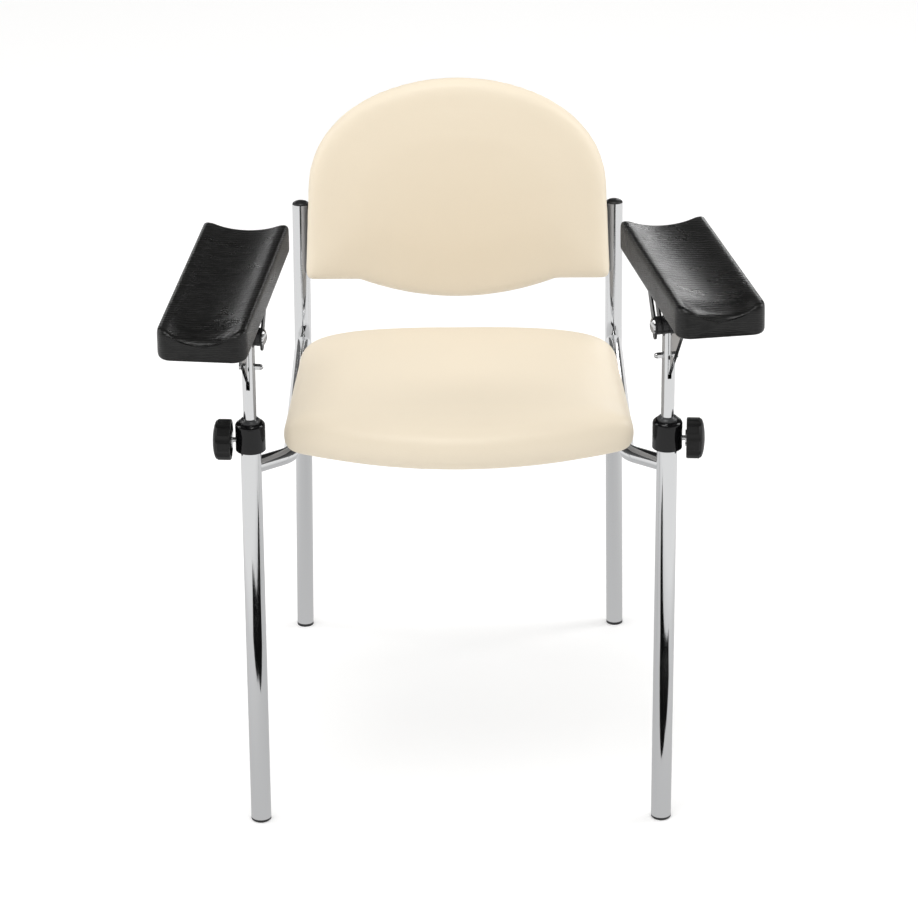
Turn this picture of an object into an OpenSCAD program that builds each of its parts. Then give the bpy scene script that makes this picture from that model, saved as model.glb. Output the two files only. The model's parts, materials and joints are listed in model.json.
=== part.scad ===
// Phlebotomy chair: four chromed tube legs, an upholstered seat and back, and on each
// front leg a telescoping arm post that rises, swivels and tilts a gutter-shaped arm pad.
// The chair faces -Y. Z is up, the floor is Z = 0, and X = 0 is its middle plane.

/* [Frame] */
// Distance between the front legs, centre to centre
front_leg_spacing = 500; // [470:5:560]
// Distance from the front legs back to the rear feet
leg_depth = 535; // [520:5:580]
// Height of the front leg tubes
leg_height = 541; // [520:1:580]
// Diameter of the front leg tubes
leg_d = 25; // [24:0.5:28]
// Wall of the front leg tubes
leg_wall = 1.5; // [1.2:0.1:2]
// How much wider the rear feet stand than the uprights
rear_foot_splay = 16; // [0:1:40]
// How much wider the uprights stand than the backrest, centre to centre
upright_gap = 13; // [11:1:24]
// Diameter of the rear legs and uprights
upright_d = 22; // [20:0.5:25]
// Height of the bend where the rear leg becomes the upright
upright_bend_height = 470; // [462:1:480]
// Distance from the front legs back to that bend
upright_bend_depth = 476; // [470:1:500]
// Length of the upright above the bend
upright_length = 162; // [150:1:180]
// Lean of the back from the vertical, in degrees
back_recline = 5.7; // [3:0.1:9]
// Diameter of the seat rails
rail_d = 20; // [18:0.5:22]
// Height of the front end of the seat rails
rail_height = 486; // [478:1:488]
// Height of the floor glides below the tubes
glide_h = 4; // [3:0.5:8]

/* [Seat] */
// Slope of the seat down to the rear, in degrees
seat_slope = 5; // [3:0.1:6]
// Width of the seat at the front
seat_front_w = 422; // [400:2:430]
// Width of the seat at the rear
seat_rear_w = 402; // [380:2:416]
// How far the seat reaches in front of the front legs
seat_overhang = 76; // [60:1:90]
// How far the seat reaches behind the front legs
seat_reach = 363; // [350:1:380]
// Thickness of the seat with its board, before the crown
seat_h = 45; // [40:1:55]
// Rise of the seat's crown
seat_crown = 6; // [3:0.5:10]

/* [Backrest] */
// Width of the backrest at its lower corners
back_w = 393; // [370:1:410]
// How much narrower the backrest is where its round top begins
back_taper = 9; // [0:1:30]
// Height of the backrest's lower side edge above the bend of the uprights
back_low = 67; // [60:1:75]
// Height of the straight part of the backrest's sides
back_side_h = 111; // [100:1:120]
// Height of the round top of the backrest
back_top_h = 155; // [140:1:165]
// Depth of the tongue at the middle of the lower edge
back_tongue = 24; // [15:1:30]
// Thickness of the backrest cushion
back_t = 33; // [28:1:40]
// Rise of the backrest's crown
back_crown = 6; // [3:0.5:10]

/* [Arms] */
// Diameter of the arm posts
post_d = 16; // [15:0.5:18]
// Height of the tilt bolt above the floor with both arms set level
pivot_height = 662; // [650:1:700]
// Left arm turned outward, in degrees
swivel_left = 6.5; // [0:0.5:20]
// Right arm turned outward, in degrees
swivel_right = 9; // [0:0.5:20]
// Left arm pad raised at the front, in degrees
tilt_left = 0; // [-10:1:20]
// Right arm pad raised at the front, in degrees
tilt_right = 4; // [-10:1:20]
// Left post set above or below its middle height
raise_left = -6; // [-30:1:60]
// Right post set above or below its middle height
raise_right = 6; // [-30:1:60]
// Length of the arm pads
pad_l = 340; // [300:5:380]
// Width of the arm pads
pad_w = 105; // [90:1:120]
// Thickness of the arm pads
pad_h = 37; // [32:1:45]
// How far the middle of the arm pads sits in front of the posts
pad_forward = 15; // [0:1:40]
// Depth of the gutter in the arm pads
gutter_depth = 10; // [6:0.5:14]
// Diameter of the clamp knobs
knob_d = 50; // [44:1:60]
// Thickness of the clamp knobs
knob_t = 22; // [18:1:28]
// Clamps turned round the legs, in degrees
clamp_skew = -3; // [-10:1:10]

/* [Hidden] */
$fn = 64;

// Clearances and one overrun for every cut
overrun = 2;
run_gap = 0.05;
slide_gap = 0.1;
seat_gap = 0.3;

// Colours as the photograph shows them
chrome = [0.78, 0.79, 0.8];
cream = [0.95, 0.89, 0.8];
black = [0.06, 0.06, 0.065];
gloss_black = [0.03, 0.03, 0.035];
nylon = [0.12, 0.12, 0.13];

// Places of the frame
upright_spacing = back_w + upright_gap;
rear_foot_spacing = upright_spacing + rear_foot_splay;
front_leg_y = (pad_l / 2 + pad_forward - leg_depth - upright_d / 2) / 2;
leg_r = leg_d / 2;
leg_bore_r = leg_r - leg_wall;
upright_r = upright_d / 2;
upright_wall = 1.5;
upright_bore_r = upright_r - upright_wall;
rail_r = rail_d / 2;
rail_wall = 1.5;
rail_bore_r = rail_r - rail_wall;
rail_bend_depth = 42;
rail_bend_r = 34;
bend_clear = 3;
bend_lap = 0.4;
bend_thin = 0.02;
upright_bend_r = 70;
cross_front_depth = 95;
cross_rear_in = 46;
cross_rear_depth = seat_reach - cross_rear_in;
rear_foot_y = front_leg_y + leg_depth;
bend_y = front_leg_y + upright_bend_depth;
slope_share = tan(seat_slope);
leg_lean_share = (leg_depth - upright_bend_depth) / (upright_bend_height - glide_h);
function rail_z(depth) = rail_height - slope_share * depth;
rail_end_depth = (upright_bend_depth + leg_lean_share * (upright_bend_height - rail_height))
  / (1 - leg_lean_share * slope_share);
splay_share = (rear_foot_spacing - upright_spacing) / 2 / (upright_bend_height - glide_h);
rail_end_x = upright_spacing / 2 + splay_share * (upright_bend_height - rail_z(rail_end_depth));

// Glides and caps
glide_round = 1.5;
glide_plug_h = 12;
cap_rise = 5;
cap_plug_h = 10;

// Collar and bush at the top of each front leg
collar_t = 5.5;
collar_h = 36;
collar_lip = 4;
collar_round = 5;
collar_r = leg_r + run_gap + collar_t;
collar_top = leg_height + collar_lip;
collar_bottom = collar_top - collar_h;
bush_h = 71;
bush_rim_r = 12.4;
bush_rim_h = 4;
bush_top = leg_height + collar_lip + bush_rim_h;

// Arm post
post_r = post_d / 2;
post_wall = 1.5;
post_bore_r = post_r - post_wall;
post_above = 14;
post_below = 290;
foot_h = 25;
spigot_h = 18;
post_top_rise = 6;

// Tilt joint: bolt, saddle, spacer, two ears and the blade in the slotted post
bolt_r = 4;
blade_t = 4;
blade_slot_w = 4.6;
blade_slot_drop = 67;
blade_slot_rise = 10;
blade_lug_r = 9;
stop_drop = 39;
stop_r = 2.5;
stop_slot_gap = 0.3;
tilt_range = 20;
saddle_r = 11;
saddle_web = 1;
ear_t = 2.5;
ear_gap = 4.5;
ear_w = 15;
ear_set_back = 36;
ear_tail = 17;
spacer_r = 11;
bolt_head_r = 10;
bolt_head_h = 4.5;
socket_r = 3.5;
socket_t = 2.5;
nut_r = 6.2;
nut_h = 4;
washer_r = 7;
washer_t = 1.5;
stop_nut_r = 4;
stop_nut_h = 6;
stop_head_r = 4;
stop_head_h = 3;
pad_lift = 45;
pad_out = 24;
flange_t = 3;
flange_rear = 54;
flange_front = 18;
flange_out = 44;
blade_flange_w = 30;
blade_flange_start = 40;
blade_flange_end = 106;
screw_r = 2.5;
screw_head_r = 5;
screw_head_h = 2.6;
screw_bite = 12;

// Clamp knob, stud and tip
clamp_drop = 20;
stud_r = 3;
tip_t = 2.8;
knob_gap = 5;
knob_dome = 5.5;
knob_edge = 1.2;
knob_lobes = 8;
scallop_r = 9;
scallop_depth = 1.8;
stud_flange_r = 10;
knob_hollow_r = 20;
knob_hub_r = 11;
knob_hollow = 3;
stud_flange_t = 1.5;
stud_grip = 14;

// Seat build
board_t = 10;
board_inset = 18;
saddle_block = 26;
saddle_block_w = 30;
seat_mount_in = 73;
seat_mount_spacing = seat_rear_w - seat_mount_in * 2;
seat_screw_r = 3;
seat_screw_head_r = 6;
seat_screw_head_h = 3.5;
seat_bow = 65;
seat_front_corner = 24;
seat_bow_slope = 33;
seat_bow_half = seat_front_w / 2 - seat_front_corner * (1 - sin(seat_bow_slope));
seat_rear_corner = 115;
seat_floor_rise = 18;

// Backrest build
shell_t = 12;
shell_front = 2.7;
shell_inset = 5.5;
cushion_back = 3;
tongue_in = 69.5;
tongue_half = back_w / 2 - tongue_in;
back_top_w = back_w - back_taper;
back_corner_r = 8;
tab_t = 3;
tab_h = 28;
tab_l = 42;
tab_low_h = 90;
tab_high_h = 145;
tab_screw_in = 30;
back_screw_r = 3;
back_screw_head_r = 5.5;
back_screw_head_h = 3.2;
back_screw_bite = 8;

// Vector helpers
function unit(v) = v / norm(v);

// A rod from one point to another
module rod(a, b, r) {
  v = b - a;
  translate(a)
    rotate([0, acos(v[2] / norm(v)), atan2(v[1], v[0])])
      cylinder(h = norm(v), r = r);
}

// Frame tubes

// Points of the rear leg: foot, bend and top of the upright
function rear_points(s) = [
  [s * rear_foot_spacing / 2, rear_foot_y, glide_h],
  [s * upright_spacing / 2, bend_y, upright_bend_height],
  [s * upright_spacing / 2, bend_y + upright_length * sin(back_recline),
    upright_bend_height + upright_length * cos(back_recline)]
];

// A rod through three points, bent round the middle one and run on at both ends.
// The straights lap a little into the bend, which is a hair thinner so that they join.
// With a bore, it is only the two straights, which end short of the bend.
module bent_rod(a, b, c, bend_r, r, on_a, on_c, bore = false) {
  u = unit(a - b);
  v = unit(c - b);
  half = acos(u * v) / 2;
  cut = bend_r / tan(half);
  o = b + unit(u + v) * bend_r / sin(half);
  n = unit(cross(u, v));
  e = unit(b + u * cut - o);
  f = cross(n, e);
  sweep = 180 - half * 2;
  short = bore ? bend_clear : -bend_lap;
  multmatrix([
    [e[0], f[0], n[0], o[0]],
    [e[1], f[1], n[1], o[1]],
    [e[2], f[2], n[2], o[2]],
    [0, 0, 0, 1]
  ]) {
    if (!bore)
      rotate([0, 0, -sweep])
        rotate_extrude(angle = sweep)
          translate([bend_r, 0]) circle(r = r - bend_thin);
    translate([bend_r, short, 0])
      rotate([-90, 0, 0]) cylinder(h = norm(a - b) - cut + on_a - short, r = r);
    rotate([0, 0, -sweep])
      translate([bend_r, -short, 0])
        rotate([90, 0, 0]) cylinder(h = norm(c - b) - cut + on_c - short, r = r);
  }
}

// Outline of a rear leg with its lower end run on through the floor plane
module rear_leg_rod(s, r, on_top, bore = false) {
  p = rear_points(s);
  bent_rod(p[0], p[1], p[2], upright_bend_r, r, upright_d, on_top, bore);
}

module rear_leg(s) {
  p = rear_points(s);
  color(chrome)
    difference() {
      rear_leg_rod(s, upright_r, 0);
      // level cut at the foot
      translate([p[0][0] - upright_d, p[0][1] - upright_d, glide_h - upright_d * 2])
        cube([upright_d * 2, upright_d * 2, upright_d * 2]);
      rear_leg_rod(s, upright_bore_r, overrun, true);
    }
}

module front_leg(s) {
  color(chrome)
    translate([s * front_leg_spacing / 2, front_leg_y, 0])
      difference() {
        translate([0, 0, glide_h]) cylinder(h = leg_height - glide_h, r = leg_r);
        translate([0, 0, glide_h - overrun])
          cylinder(h = leg_height - glide_h + overrun * 2, r = leg_bore_r);
        clamp_bore(s);
      }
}

// Hole for the clamp stud through leg, bush and collar on the outer side
module clamp_bore(s) {
  translate([0, 0, leg_height - clamp_drop])
    rotate([0, 0, clamp_skew])
      rotate([0, s * 90, 0])
        cylinder(h = collar_r + overrun, r = stud_r + slide_gap);
}

// A seat rail runs from the front leg, round its bend, to the rear leg
function rail_points(s) = [
  [s * front_leg_spacing / 2, front_leg_y, rail_z(0)],
  [s * upright_spacing / 2, front_leg_y + rail_bend_depth, rail_z(rail_bend_depth)],
  [s * rail_end_x, front_leg_y + rail_end_depth, rail_z(rail_end_depth)]
];

module side_rail(s) {
  p = rail_points(s);
  color(chrome)
    difference() {
      bent_rod(p[0], p[1], p[2], rail_bend_r, rail_r, 0, 0);
      bent_rod(p[0], p[1], p[2], rail_bend_r, rail_bore_r, 0, 0, true);
      translate([s * front_leg_spacing / 2, front_leg_y, 0])
        cylinder(h = leg_height, r = leg_r);
      rear_leg_rod(s, upright_r, 0);
    }
}

// Straight rail across, cut to the round of the side rails
module cross_rail(depth) {
  z = rail_z(depth);
  half = upright_spacing / 2 + (rail_end_x - upright_spacing / 2)
    * (depth - rail_bend_depth) / (rail_end_depth - rail_bend_depth);
  color(chrome)
    difference() {
      translate([-half, front_leg_y + depth, z])
        rotate([0, 90, 0]) cylinder(h = half * 2, r = rail_r);
      translate([-half, front_leg_y + depth, z])
        rotate([0, 90, 0]) cylinder(h = half * 2, r = rail_bore_r);
      for (s = [-1, 1])
        side_rail_line(s);
      for (s = [-1, 1])
        translate([s * seat_mount_spacing / 2, front_leg_y + depth, z])
          rotate([-seat_slope, 0, 0])
            cylinder(h = rail_d * 2, r = seat_screw_r + slide_gap, center = true);
    }
}

// The straight run of a side rail
module side_rail_line(s) {
  p = rail_points(s);
  rod(p[1], p[2], rail_r);
}

// Glides and caps

module front_glide(s) {
  color(black)
    translate([s * front_leg_spacing / 2, front_leg_y, 0]) {
      rotate_extrude()
        polygon([
          [0, 0], [leg_r - glide_round, 0], [leg_r, glide_round], [leg_r, glide_h],
          [0, glide_h]
        ]);
      translate([0, 0, glide_h - seat_gap])
        cylinder(h = glide_plug_h, r = leg_bore_r - slide_gap);
    }
}

module rear_glide(s) {
  p = rear_points(s);
  low = unit(p[0] - p[1]);
  color(black)
    union() {
      intersection() {
        rod(p[0] - low * upright_d, p[0] + low * upright_d, upright_r);
        translate([p[0][0] - upright_d, p[0][1] - upright_d, 0])
          cube([upright_d * 2, upright_d * 2, glide_h]);
      }
      difference() {
        rod(p[0] - low * glide_plug_h, p[0] + low * glide_h / 2, upright_bore_r - slide_gap);
        translate([p[0][0] - upright_d, p[0][1] - upright_d, -upright_d * 2])
          cube([upright_d * 2, upright_d * 2, upright_d * 2]);
      }
    }
}

module upright_cap(s) {
  p = rear_points(s);
  color(black)
    translate(p[2])
      rotate([-back_recline, 0, 0])
        rotate_extrude()
          polygon(concat(
            [[0, -cap_plug_h], [upright_bore_r - slide_gap, -cap_plug_h],
              [upright_bore_r - slide_gap, 0], [upright_r, 0]],
            [for (a = [15:15:90]) [upright_r * cos(a), cap_rise * sin(a)]]
          ));
}

// Seat

// Skin over a stack of rings, each running anticlockwise seen from the last one
module skin(rings, low, high) {
  n = len(rings[0]);
  m = len(rings);
  points = concat([for (r = rings) each r], [low, high]);
  sides = [for (j = [0:m - 2]) for (i = [0:n - 1]) each [
    [j * n + i, (j + 1) * n + i, (j + 1) * n + (i + 1) % n],
    [j * n + i, (j + 1) * n + (i + 1) % n, j * n + (i + 1) % n]
  ]];
  bottom = [for (i = [0:n - 1]) [m * n, i, (i + 1) % n]];
  top = [for (i = [0:n - 1]) [m * n + 1, (m - 1) * n + (i + 1) % n, (m - 1) * n + i]];
  polyhedron(points = points, faces = concat(sides, bottom, top));
}

// Half of the seat's plan from front middle to rear middle, drawn in by an inset
seat_front_steps = 8;
seat_corner_steps = 4;
seat_rear_steps = 10;
rear_corner_power = 3;
function seat_half(inset) = concat(
  [for (k = [0:seat_front_steps])
    let (x = (seat_bow_half - inset) * k / seat_front_steps)
    [x, inset - seat_overhang + seat_bow * pow(x / seat_bow_half, 2)]],
  [for (k = [1:seat_corner_steps])
    let (t = seat_bow_slope + (90 - seat_bow_slope) * k / seat_corner_steps)
    [seat_front_w / 2 - inset - seat_front_corner * (1 - sin(t)),
      inset - seat_overhang + seat_bow * pow(1 - inset / seat_bow_half, 2)
        + seat_front_corner * (cos(seat_bow_slope) - cos(t))]],
  [for (k = [0:seat_rear_steps])
    let (t = 90 * k / seat_rear_steps)
    [(seat_rear_w / 2 - inset) * pow(cos(t), 2 / rear_corner_power),
      seat_reach - seat_rear_corner
        + (seat_rear_corner - inset) * pow(sin(t), 2 / rear_corner_power)]]
);
function seat_plan(inset) = let (h = seat_half(inset), n = len(h))
  concat(h, [for (k = [n - 2:-1:1]) [-h[k][0], h[k][1]]]);
function seat_ring(inset, z) = [for (p = seat_plan(inset)) [p[0], p[1], z]];

// Side of the seat cushion: share of the board inset, share of the seat height
seat_side_shares = [
  [0.5, 0.01], [0.2, 0.12], [0.04, 0.28], [0, 0.44], [0.03, 0.62], [0.2, 0.79],
  [0.55, 0.92], [1.1, 1]
];
// Crown of the seat: share of the reach to the middle, share of the crown
seat_crown_shares = [[0.32, 0.45], [0.52, 0.75], [0.72, 0.92]];
seat_crown_reach = 71;

// The seat's own frame: Z = 0 is its underside, sloping down to the rear
module seat_frame() {
  translate([0, front_leg_y, rail_height + seat_floor_rise])
    rotate([-seat_slope, 0, 0]) children();
}

module seat_cushion() {
  middle = seat_reach / 2 - seat_overhang / 2;
  color(cream)
    seat_frame()
      skin(concat(
        [seat_ring(board_inset, board_t), seat_ring(board_inset, 0)],
        [for (q = seat_side_shares) seat_ring(q[0] * board_inset, q[1] * seat_h)],
        [for (q = seat_crown_shares)
          seat_ring(q[0] * seat_crown_reach, seat_h + q[1] * seat_crown)]
      ), [0, middle, board_t], [0, middle, seat_h + seat_crown]);
}

module seat_board() {
  color(black)
    difference() {
      seat_frame() {
        linear_extrude(height = board_t - seat_gap)
          polygon(seat_plan(board_inset + seat_gap));
        intersection() {
          for (s = [-1, 1], d = [cross_front_depth, cross_rear_depth])
            translate([s * seat_mount_spacing / 2 - saddle_block_w / 2,
              d / cos(seat_slope) - saddle_block / 2, -seat_floor_rise + rail_r / 2])
              cube([saddle_block_w, saddle_block, seat_floor_rise]);
          translate([0, 0, -seat_floor_rise])
            linear_extrude(height = seat_floor_rise * 2)
              polygon(seat_plan(board_inset + seat_gap));
        }
      }
      for (d = [cross_front_depth, cross_rear_depth])
        translate([-seat_front_w / 2, front_leg_y + d, rail_z(d)])
          rotate([0, 90, 0]) cylinder(h = seat_front_w, r = rail_r + slide_gap);
      seat_screw_set(slide_gap);
    }
}

// Screws up through the cross rails into the board
module seat_screw_set(gap) {
  for (s = [-1, 1], d = [cross_front_depth, cross_rear_depth])
    translate([s * seat_mount_spacing / 2, front_leg_y + d, rail_z(d)])
      rotate([-seat_slope, 0, 0])
        translate([0, 0, -rail_r - seat_screw_head_h / 2])
          cylinder(h = rail_r + seat_screw_head_h / 2 + seat_floor_rise + board_t / 2,
            r = seat_screw_r + gap);
}

module seat_screws() {
  color(chrome) {
    seat_screw_set(0);
    for (s = [-1, 1], d = [cross_front_depth, cross_rear_depth])
      translate([s * seat_mount_spacing / 2, front_leg_y + d, rail_z(d)])
        rotate([-seat_slope, 0, 0])
          difference() {
            translate([0, 0, -rail_r - seat_screw_head_h / 2])
              cylinder(h = seat_screw_head_h, r = seat_screw_head_r);
            rotate([0, 90, 0])
              cylinder(h = seat_screw_head_r * 4, r = rail_r + run_gap, center = true);
          }
  }
}

// Backrest

// The backrest's own frame: X across, Y up along the uprights, Z to the front
module back_frame() {
  translate([0, bend_y, upright_bend_height])
    rotate([90 - back_recline, 0, 0]) children();
}

tongue_steps = 7;
corner_steps = 4;
dome_steps = 10;
dome_power = 2.3;
function back_half(inset) = let (
    w = back_w / 2 - inset,
    low = back_low + inset,
    r = back_corner_r
  ) concat(
    [for (k = [0:tongue_steps])
      let (x = tongue_half * k / tongue_steps)
      [x * (1 - inset / back_w * 2), low - back_tongue * (1 - pow(k / tongue_steps, 2))]],
    [for (k = [0:corner_steps])
      let (t = 90 * k / corner_steps)
      [w - r + r * sin(t), low + r - r * cos(t)]],
    [for (k = [0:dome_steps])
      let (t = 90 * k / dome_steps)
      [(back_top_w / 2 - inset) * cos(t),
        back_low + back_side_h + (back_top_h - inset) * pow(sin(t), 2 / dome_power)]]
  );
function back_plan(inset) = let (h = back_half(inset), n = len(h))
  concat(h, [for (k = [n - 2:-1:1]) [-h[k][0], h[k][1]]]);
function back_ring(inset, z) = [for (p = back_plan(inset)) [p[0], p[1], z]];

// Side of the cushion: share of the full inset, share of its thickness
back_inset = 12;
back_side_shares = [
  [0.66, 0], [0.46, 0.12], [0.44, 0.26], [0.12, 0.4], [0, 0.52], [0.08, 0.7],
  [0.4, 0.85], [1, 0.955]
];
back_crown_shares = [[0.32, 0.3], [0.55, 0.62], [0.78, 0.86]];
back_crown_reach = 95;

module back_cushion() {
  middle = back_low + back_side_h / 2;
  color(cream)
    back_frame()
      skin(concat(
        [for (q = back_side_shares)
          back_ring(q[0] * back_inset, cushion_back + q[1] * back_t)],
        [for (q = back_crown_shares)
          back_ring(q[0] * back_crown_reach, cushion_back + back_t + q[1] * back_crown)]
      ), [0, middle, cushion_back], [0, middle, cushion_back + back_t + back_crown]);
}

// Moulded shell behind the cushion, with a rounded rear edge
shell_side_shares = [[2.1, 1], [1.35, 0.9], [1.05, 0.66], [1, 0]];
module back_shell() {
  middle = back_low + back_side_h / 2;
  color(black)
    difference() {
      back_frame()
        skin([for (q = shell_side_shares)
          back_ring(q[0] * shell_inset, shell_front - q[1] * shell_t)],
          [0, middle, shell_front - shell_t], [0, middle, shell_front]);
      back_screw_set(slide_gap);
    }
}

tab_face = shell_t - shell_front + seat_gap;
module back_tabs(s) {
  color(chrome)
    difference() {
      back_frame()
        for (h = [tab_low_h, tab_high_h])
          translate([s > 0 ? upright_spacing / 2 - tab_l : -upright_spacing / 2,
            h - tab_h / 2, -tab_face - tab_t])
            cube([tab_l, tab_h, tab_t]);
      rear_leg_rod(s, upright_r, 0);
      back_screw_set(slide_gap);
    }
}

module back_screw_set(gap) {
  back_frame()
    for (s = [-1, 1], h = [tab_low_h, tab_high_h])
      translate([s * (upright_spacing / 2 - tab_screw_in), h, -tab_face - tab_t])
        cylinder(h = tab_t + seat_gap + back_screw_bite, r = back_screw_r + gap);
}

module back_screws() {
  color(chrome) {
    back_screw_set(0);
    back_frame()
      for (s = [-1, 1], h = [tab_low_h, tab_high_h])
        translate([s * (upright_spacing / 2 - tab_screw_in), h,
          -tab_face - tab_t - back_screw_head_h])
          cylinder(h = back_screw_head_h, r1 = back_screw_head_r - back_screw_head_h / 2,
            r2 = back_screw_head_r);
  }
}

// Collar and bush

module collar(s) {
  color(gloss_black)
    translate([s * front_leg_spacing / 2, front_leg_y, 0])
      difference() {
        rotate_extrude()
          difference() {
            union() {
              translate([leg_r + run_gap, collar_bottom])
                square([collar_t, collar_h - collar_round]);
              translate([leg_r + run_gap, collar_bottom])
                square([collar_t - collar_round, collar_h]);
              translate([collar_r - collar_round, collar_top - collar_round])
                circle(r = collar_round);
            }
            translate([0, collar_bottom]) square([leg_r + run_gap, collar_h]);
          }
        clamp_bore(s);
      }
}

module bush(s) {
  color(nylon)
    translate([s * front_leg_spacing / 2, front_leg_y, 0])
      difference() {
        rotate_extrude()
          polygon([
            [post_r + run_gap, leg_height - bush_h],
            [leg_bore_r - run_gap, leg_height - bush_h],
            [leg_bore_r - run_gap, leg_height + run_gap],
            [bush_rim_r, leg_height + run_gap],
            [bush_rim_r, bush_top - bush_rim_h / 2],
            [bush_rim_r - bush_rim_h / 2, bush_top],
            [post_r + run_gap, bush_top]
          ]);
        clamp_bore(s);
      }
}

// Clamp: tip, stud and knob on the outer side of each leg

tip_start = post_r + slide_gap;
module clamp_frame(s) {
  translate([s * front_leg_spacing / 2, front_leg_y, leg_height - clamp_drop])
    rotate([0, 0, clamp_skew])
      rotate([0, s * 90, 0]) children();
}

module clamp_tip(s) {
  color(nylon)
    clamp_frame(s)
      translate([0, 0, tip_start]) cylinder(h = tip_t, r = stud_r);
}

knob_start = collar_r + knob_gap;
module clamp_stud(s) {
  color(chrome)
    clamp_frame(s) {
      translate([0, 0, tip_start + tip_t])
        cylinder(h = knob_start + stud_grip - tip_start - tip_t, r = stud_r);
      translate([0, 0, knob_start - stud_flange_t])
        cylinder(h = stud_flange_t, r = stud_flange_r);
    }
}

module clamp_knob(s) {
  color(black)
    clamp_frame(s)
      difference() {
        translate([0, 0, knob_start])
          rotate_extrude()
            polygon(concat([
              [0, 0], [knob_hub_r, 0], [knob_hub_r, knob_hollow],
              [knob_hollow_r, knob_hollow], [knob_hollow_r, 0],
              [knob_d / 2 - knob_edge, 0], [knob_d / 2, knob_edge],
              [knob_d / 2, knob_t - knob_dome - knob_edge]
            ], [for (a = [0:12:84])
              [(knob_d / 2 - knob_edge) * cos(a), knob_t - knob_dome * (1 - sin(a))]],
              [[0, knob_t]]));
        for (k = [0:knob_lobes - 1])
          rotate([0, 0, 360 * (k + 1 / 2) / knob_lobes])
            translate([knob_d / 2 + scallop_r - scallop_depth, 0, knob_start - overrun])
              cylinder(h = knob_t + overrun * 2, r = scallop_r);
        translate([0, 0, knob_start - overrun])
          cylinder(h = stud_grip + overrun, r = stud_r);
      }
}

// Arm: post and what turns with it

function raise(s) = s < 0 ? raise_left : raise_right;
function swivel(s) = s < 0 ? -swivel_left : swivel_right;
function tilt(s) = s < 0 ? tilt_left : tilt_right;

// The arm's own frame at the tilt bolt: X outboard, -Y forward, Z up
module arm_frame(s) {
  translate([s * front_leg_spacing / 2, front_leg_y, pivot_height + raise(s)])
    rotate([0, 0, swivel(s)])
      mirror([s < 0 ? 1 : 0, 0, 0]) children();
}
module tilt_frame(s) {
  arm_frame(s) rotate([-tilt(s), 0, 0]) children();
}

module post_foot(s) {
  color(nylon)
    translate([s * front_leg_spacing / 2, front_leg_y, pivot_height + raise(s) - post_below]) {
      translate([0, 0, -foot_h]) cylinder(h = foot_h, r = leg_bore_r - slide_gap);
      cylinder(h = spigot_h, r = post_bore_r - run_gap);
    }
}

// Outline of the post tube, used again where other pieces seat on it
module post_rod(gap) {
  translate([0, 0, -post_below]) cylinder(h = post_below + post_above, r = post_r + gap);
}

module post(s) {
  color(chrome)
    arm_frame(s)
      difference() {
        post_rod(0);
        translate([0, 0, -post_below - overrun])
          cylinder(h = post_below + post_above + overrun * 2, r = post_bore_r);
        translate([-blade_slot_w / 2, -post_d, -blade_slot_drop])
          cube([blade_slot_w, post_d * 2, blade_slot_drop + blade_slot_rise]);
        cross_hole(bolt_r + run_gap, 0);
        cross_hole(stop_r + run_gap, stop_drop);
      }
}

// Hole across the arm at a distance below the tilt bolt
module cross_hole(r, drop) {
  translate([0, 0, -drop])
    rotate([0, 90, 0]) cylinder(h = post_d * 4, r = r, center = true);
}

module post_cap(s) {
  color(black)
    arm_frame(s)
      translate([0, 0, post_above])
        rotate_extrude()
          polygon(concat(
            [[0, -(post_above - blade_slot_rise)],
              [post_bore_r - slide_gap, -(post_above - blade_slot_rise)],
              [post_bore_r - slide_gap, 0], [post_r, 0]],
            [for (a = [15:15:90]) [post_r * cos(a), post_top_rise * sin(a)]]
          ));
}

saddle_face = post_r + saddle_web;
ear_in = saddle_face + ear_t;
ear_far = ear_in + ear_gap;
head_face = ear_far + ear_t;

// Black saddle between the round post and the flat ear
module tilt_saddle(s) {
  color(black)
    arm_frame(s)
      difference() {
        translate([-saddle_face, 0, 0])
          rotate([0, 90, 0]) cylinder(h = saddle_face - blade_slot_w / 2, r = saddle_r);
        post_rod(run_gap);
        cross_hole(bolt_r + run_gap, 0);
      }
}

module tilt_spacer(s) {
  color(black)
    arm_frame(s)
      difference() {
        translate([-ear_far + run_gap, 0, 0])
          rotate([0, 90, 0]) cylinder(h = ear_gap - run_gap * 2, r = spacer_r);
        cross_hole(bolt_r + run_gap, 0);
      }
}

// Bolt across the post, with a domed head on the inner side
module tilt_bolt(s) {
  color(chrome)
    arm_frame(s)
      difference() {
        union() {
          translate([-head_face, 0, 0])
            rotate([0, 90, 0])
              cylinder(h = head_face + post_r + washer_t + nut_h - run_gap, r = bolt_r);
          translate([-head_face, 0, 0])
            rotate([0, -90, 0])
              rotate_extrude()
                polygon(concat([[0, 0]],
                  [for (a = [0:15:90]) [bolt_head_r * cos(a), bolt_head_h * sin(a)]]));
        }
        // hexagon socket
        translate([-head_face - bolt_head_h - overrun, 0, 0])
          rotate([0, 90, 0]) cylinder(h = socket_t + overrun, r = socket_r, $fn = 6);
      }
}

module tilt_nut(s) {
  color(black)
    arm_frame(s)
      difference() {
        union() {
          translate([post_r - saddle_web, 0, 0])
            rotate([0, 90, 0]) cylinder(h = saddle_web + washer_t, r = washer_r);
          translate([post_r + washer_t, 0, 0])
            rotate([0, 90, 0]) cylinder(h = nut_h, r = nut_r, $fn = 6);
        }
        post_rod(run_gap);
        rotate([0, 90, 0]) cylinder(h = post_d * 2, r = bolt_r);
      }
}

module stop_bolt(s) {
  color(chrome)
    arm_frame(s)
      translate([0, 0, -stop_drop]) {
        translate([-post_r - stop_nut_h, 0, 0])
          rotate([0, 90, 0]) cylinder(h = post_d + stop_nut_h + run_gap, r = stop_r);
        translate([post_r + run_gap, 0, 0])
          rotate([0, 90, 0]) cylinder(h = stop_head_h, r = stop_head_r);
      }
}

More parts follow.
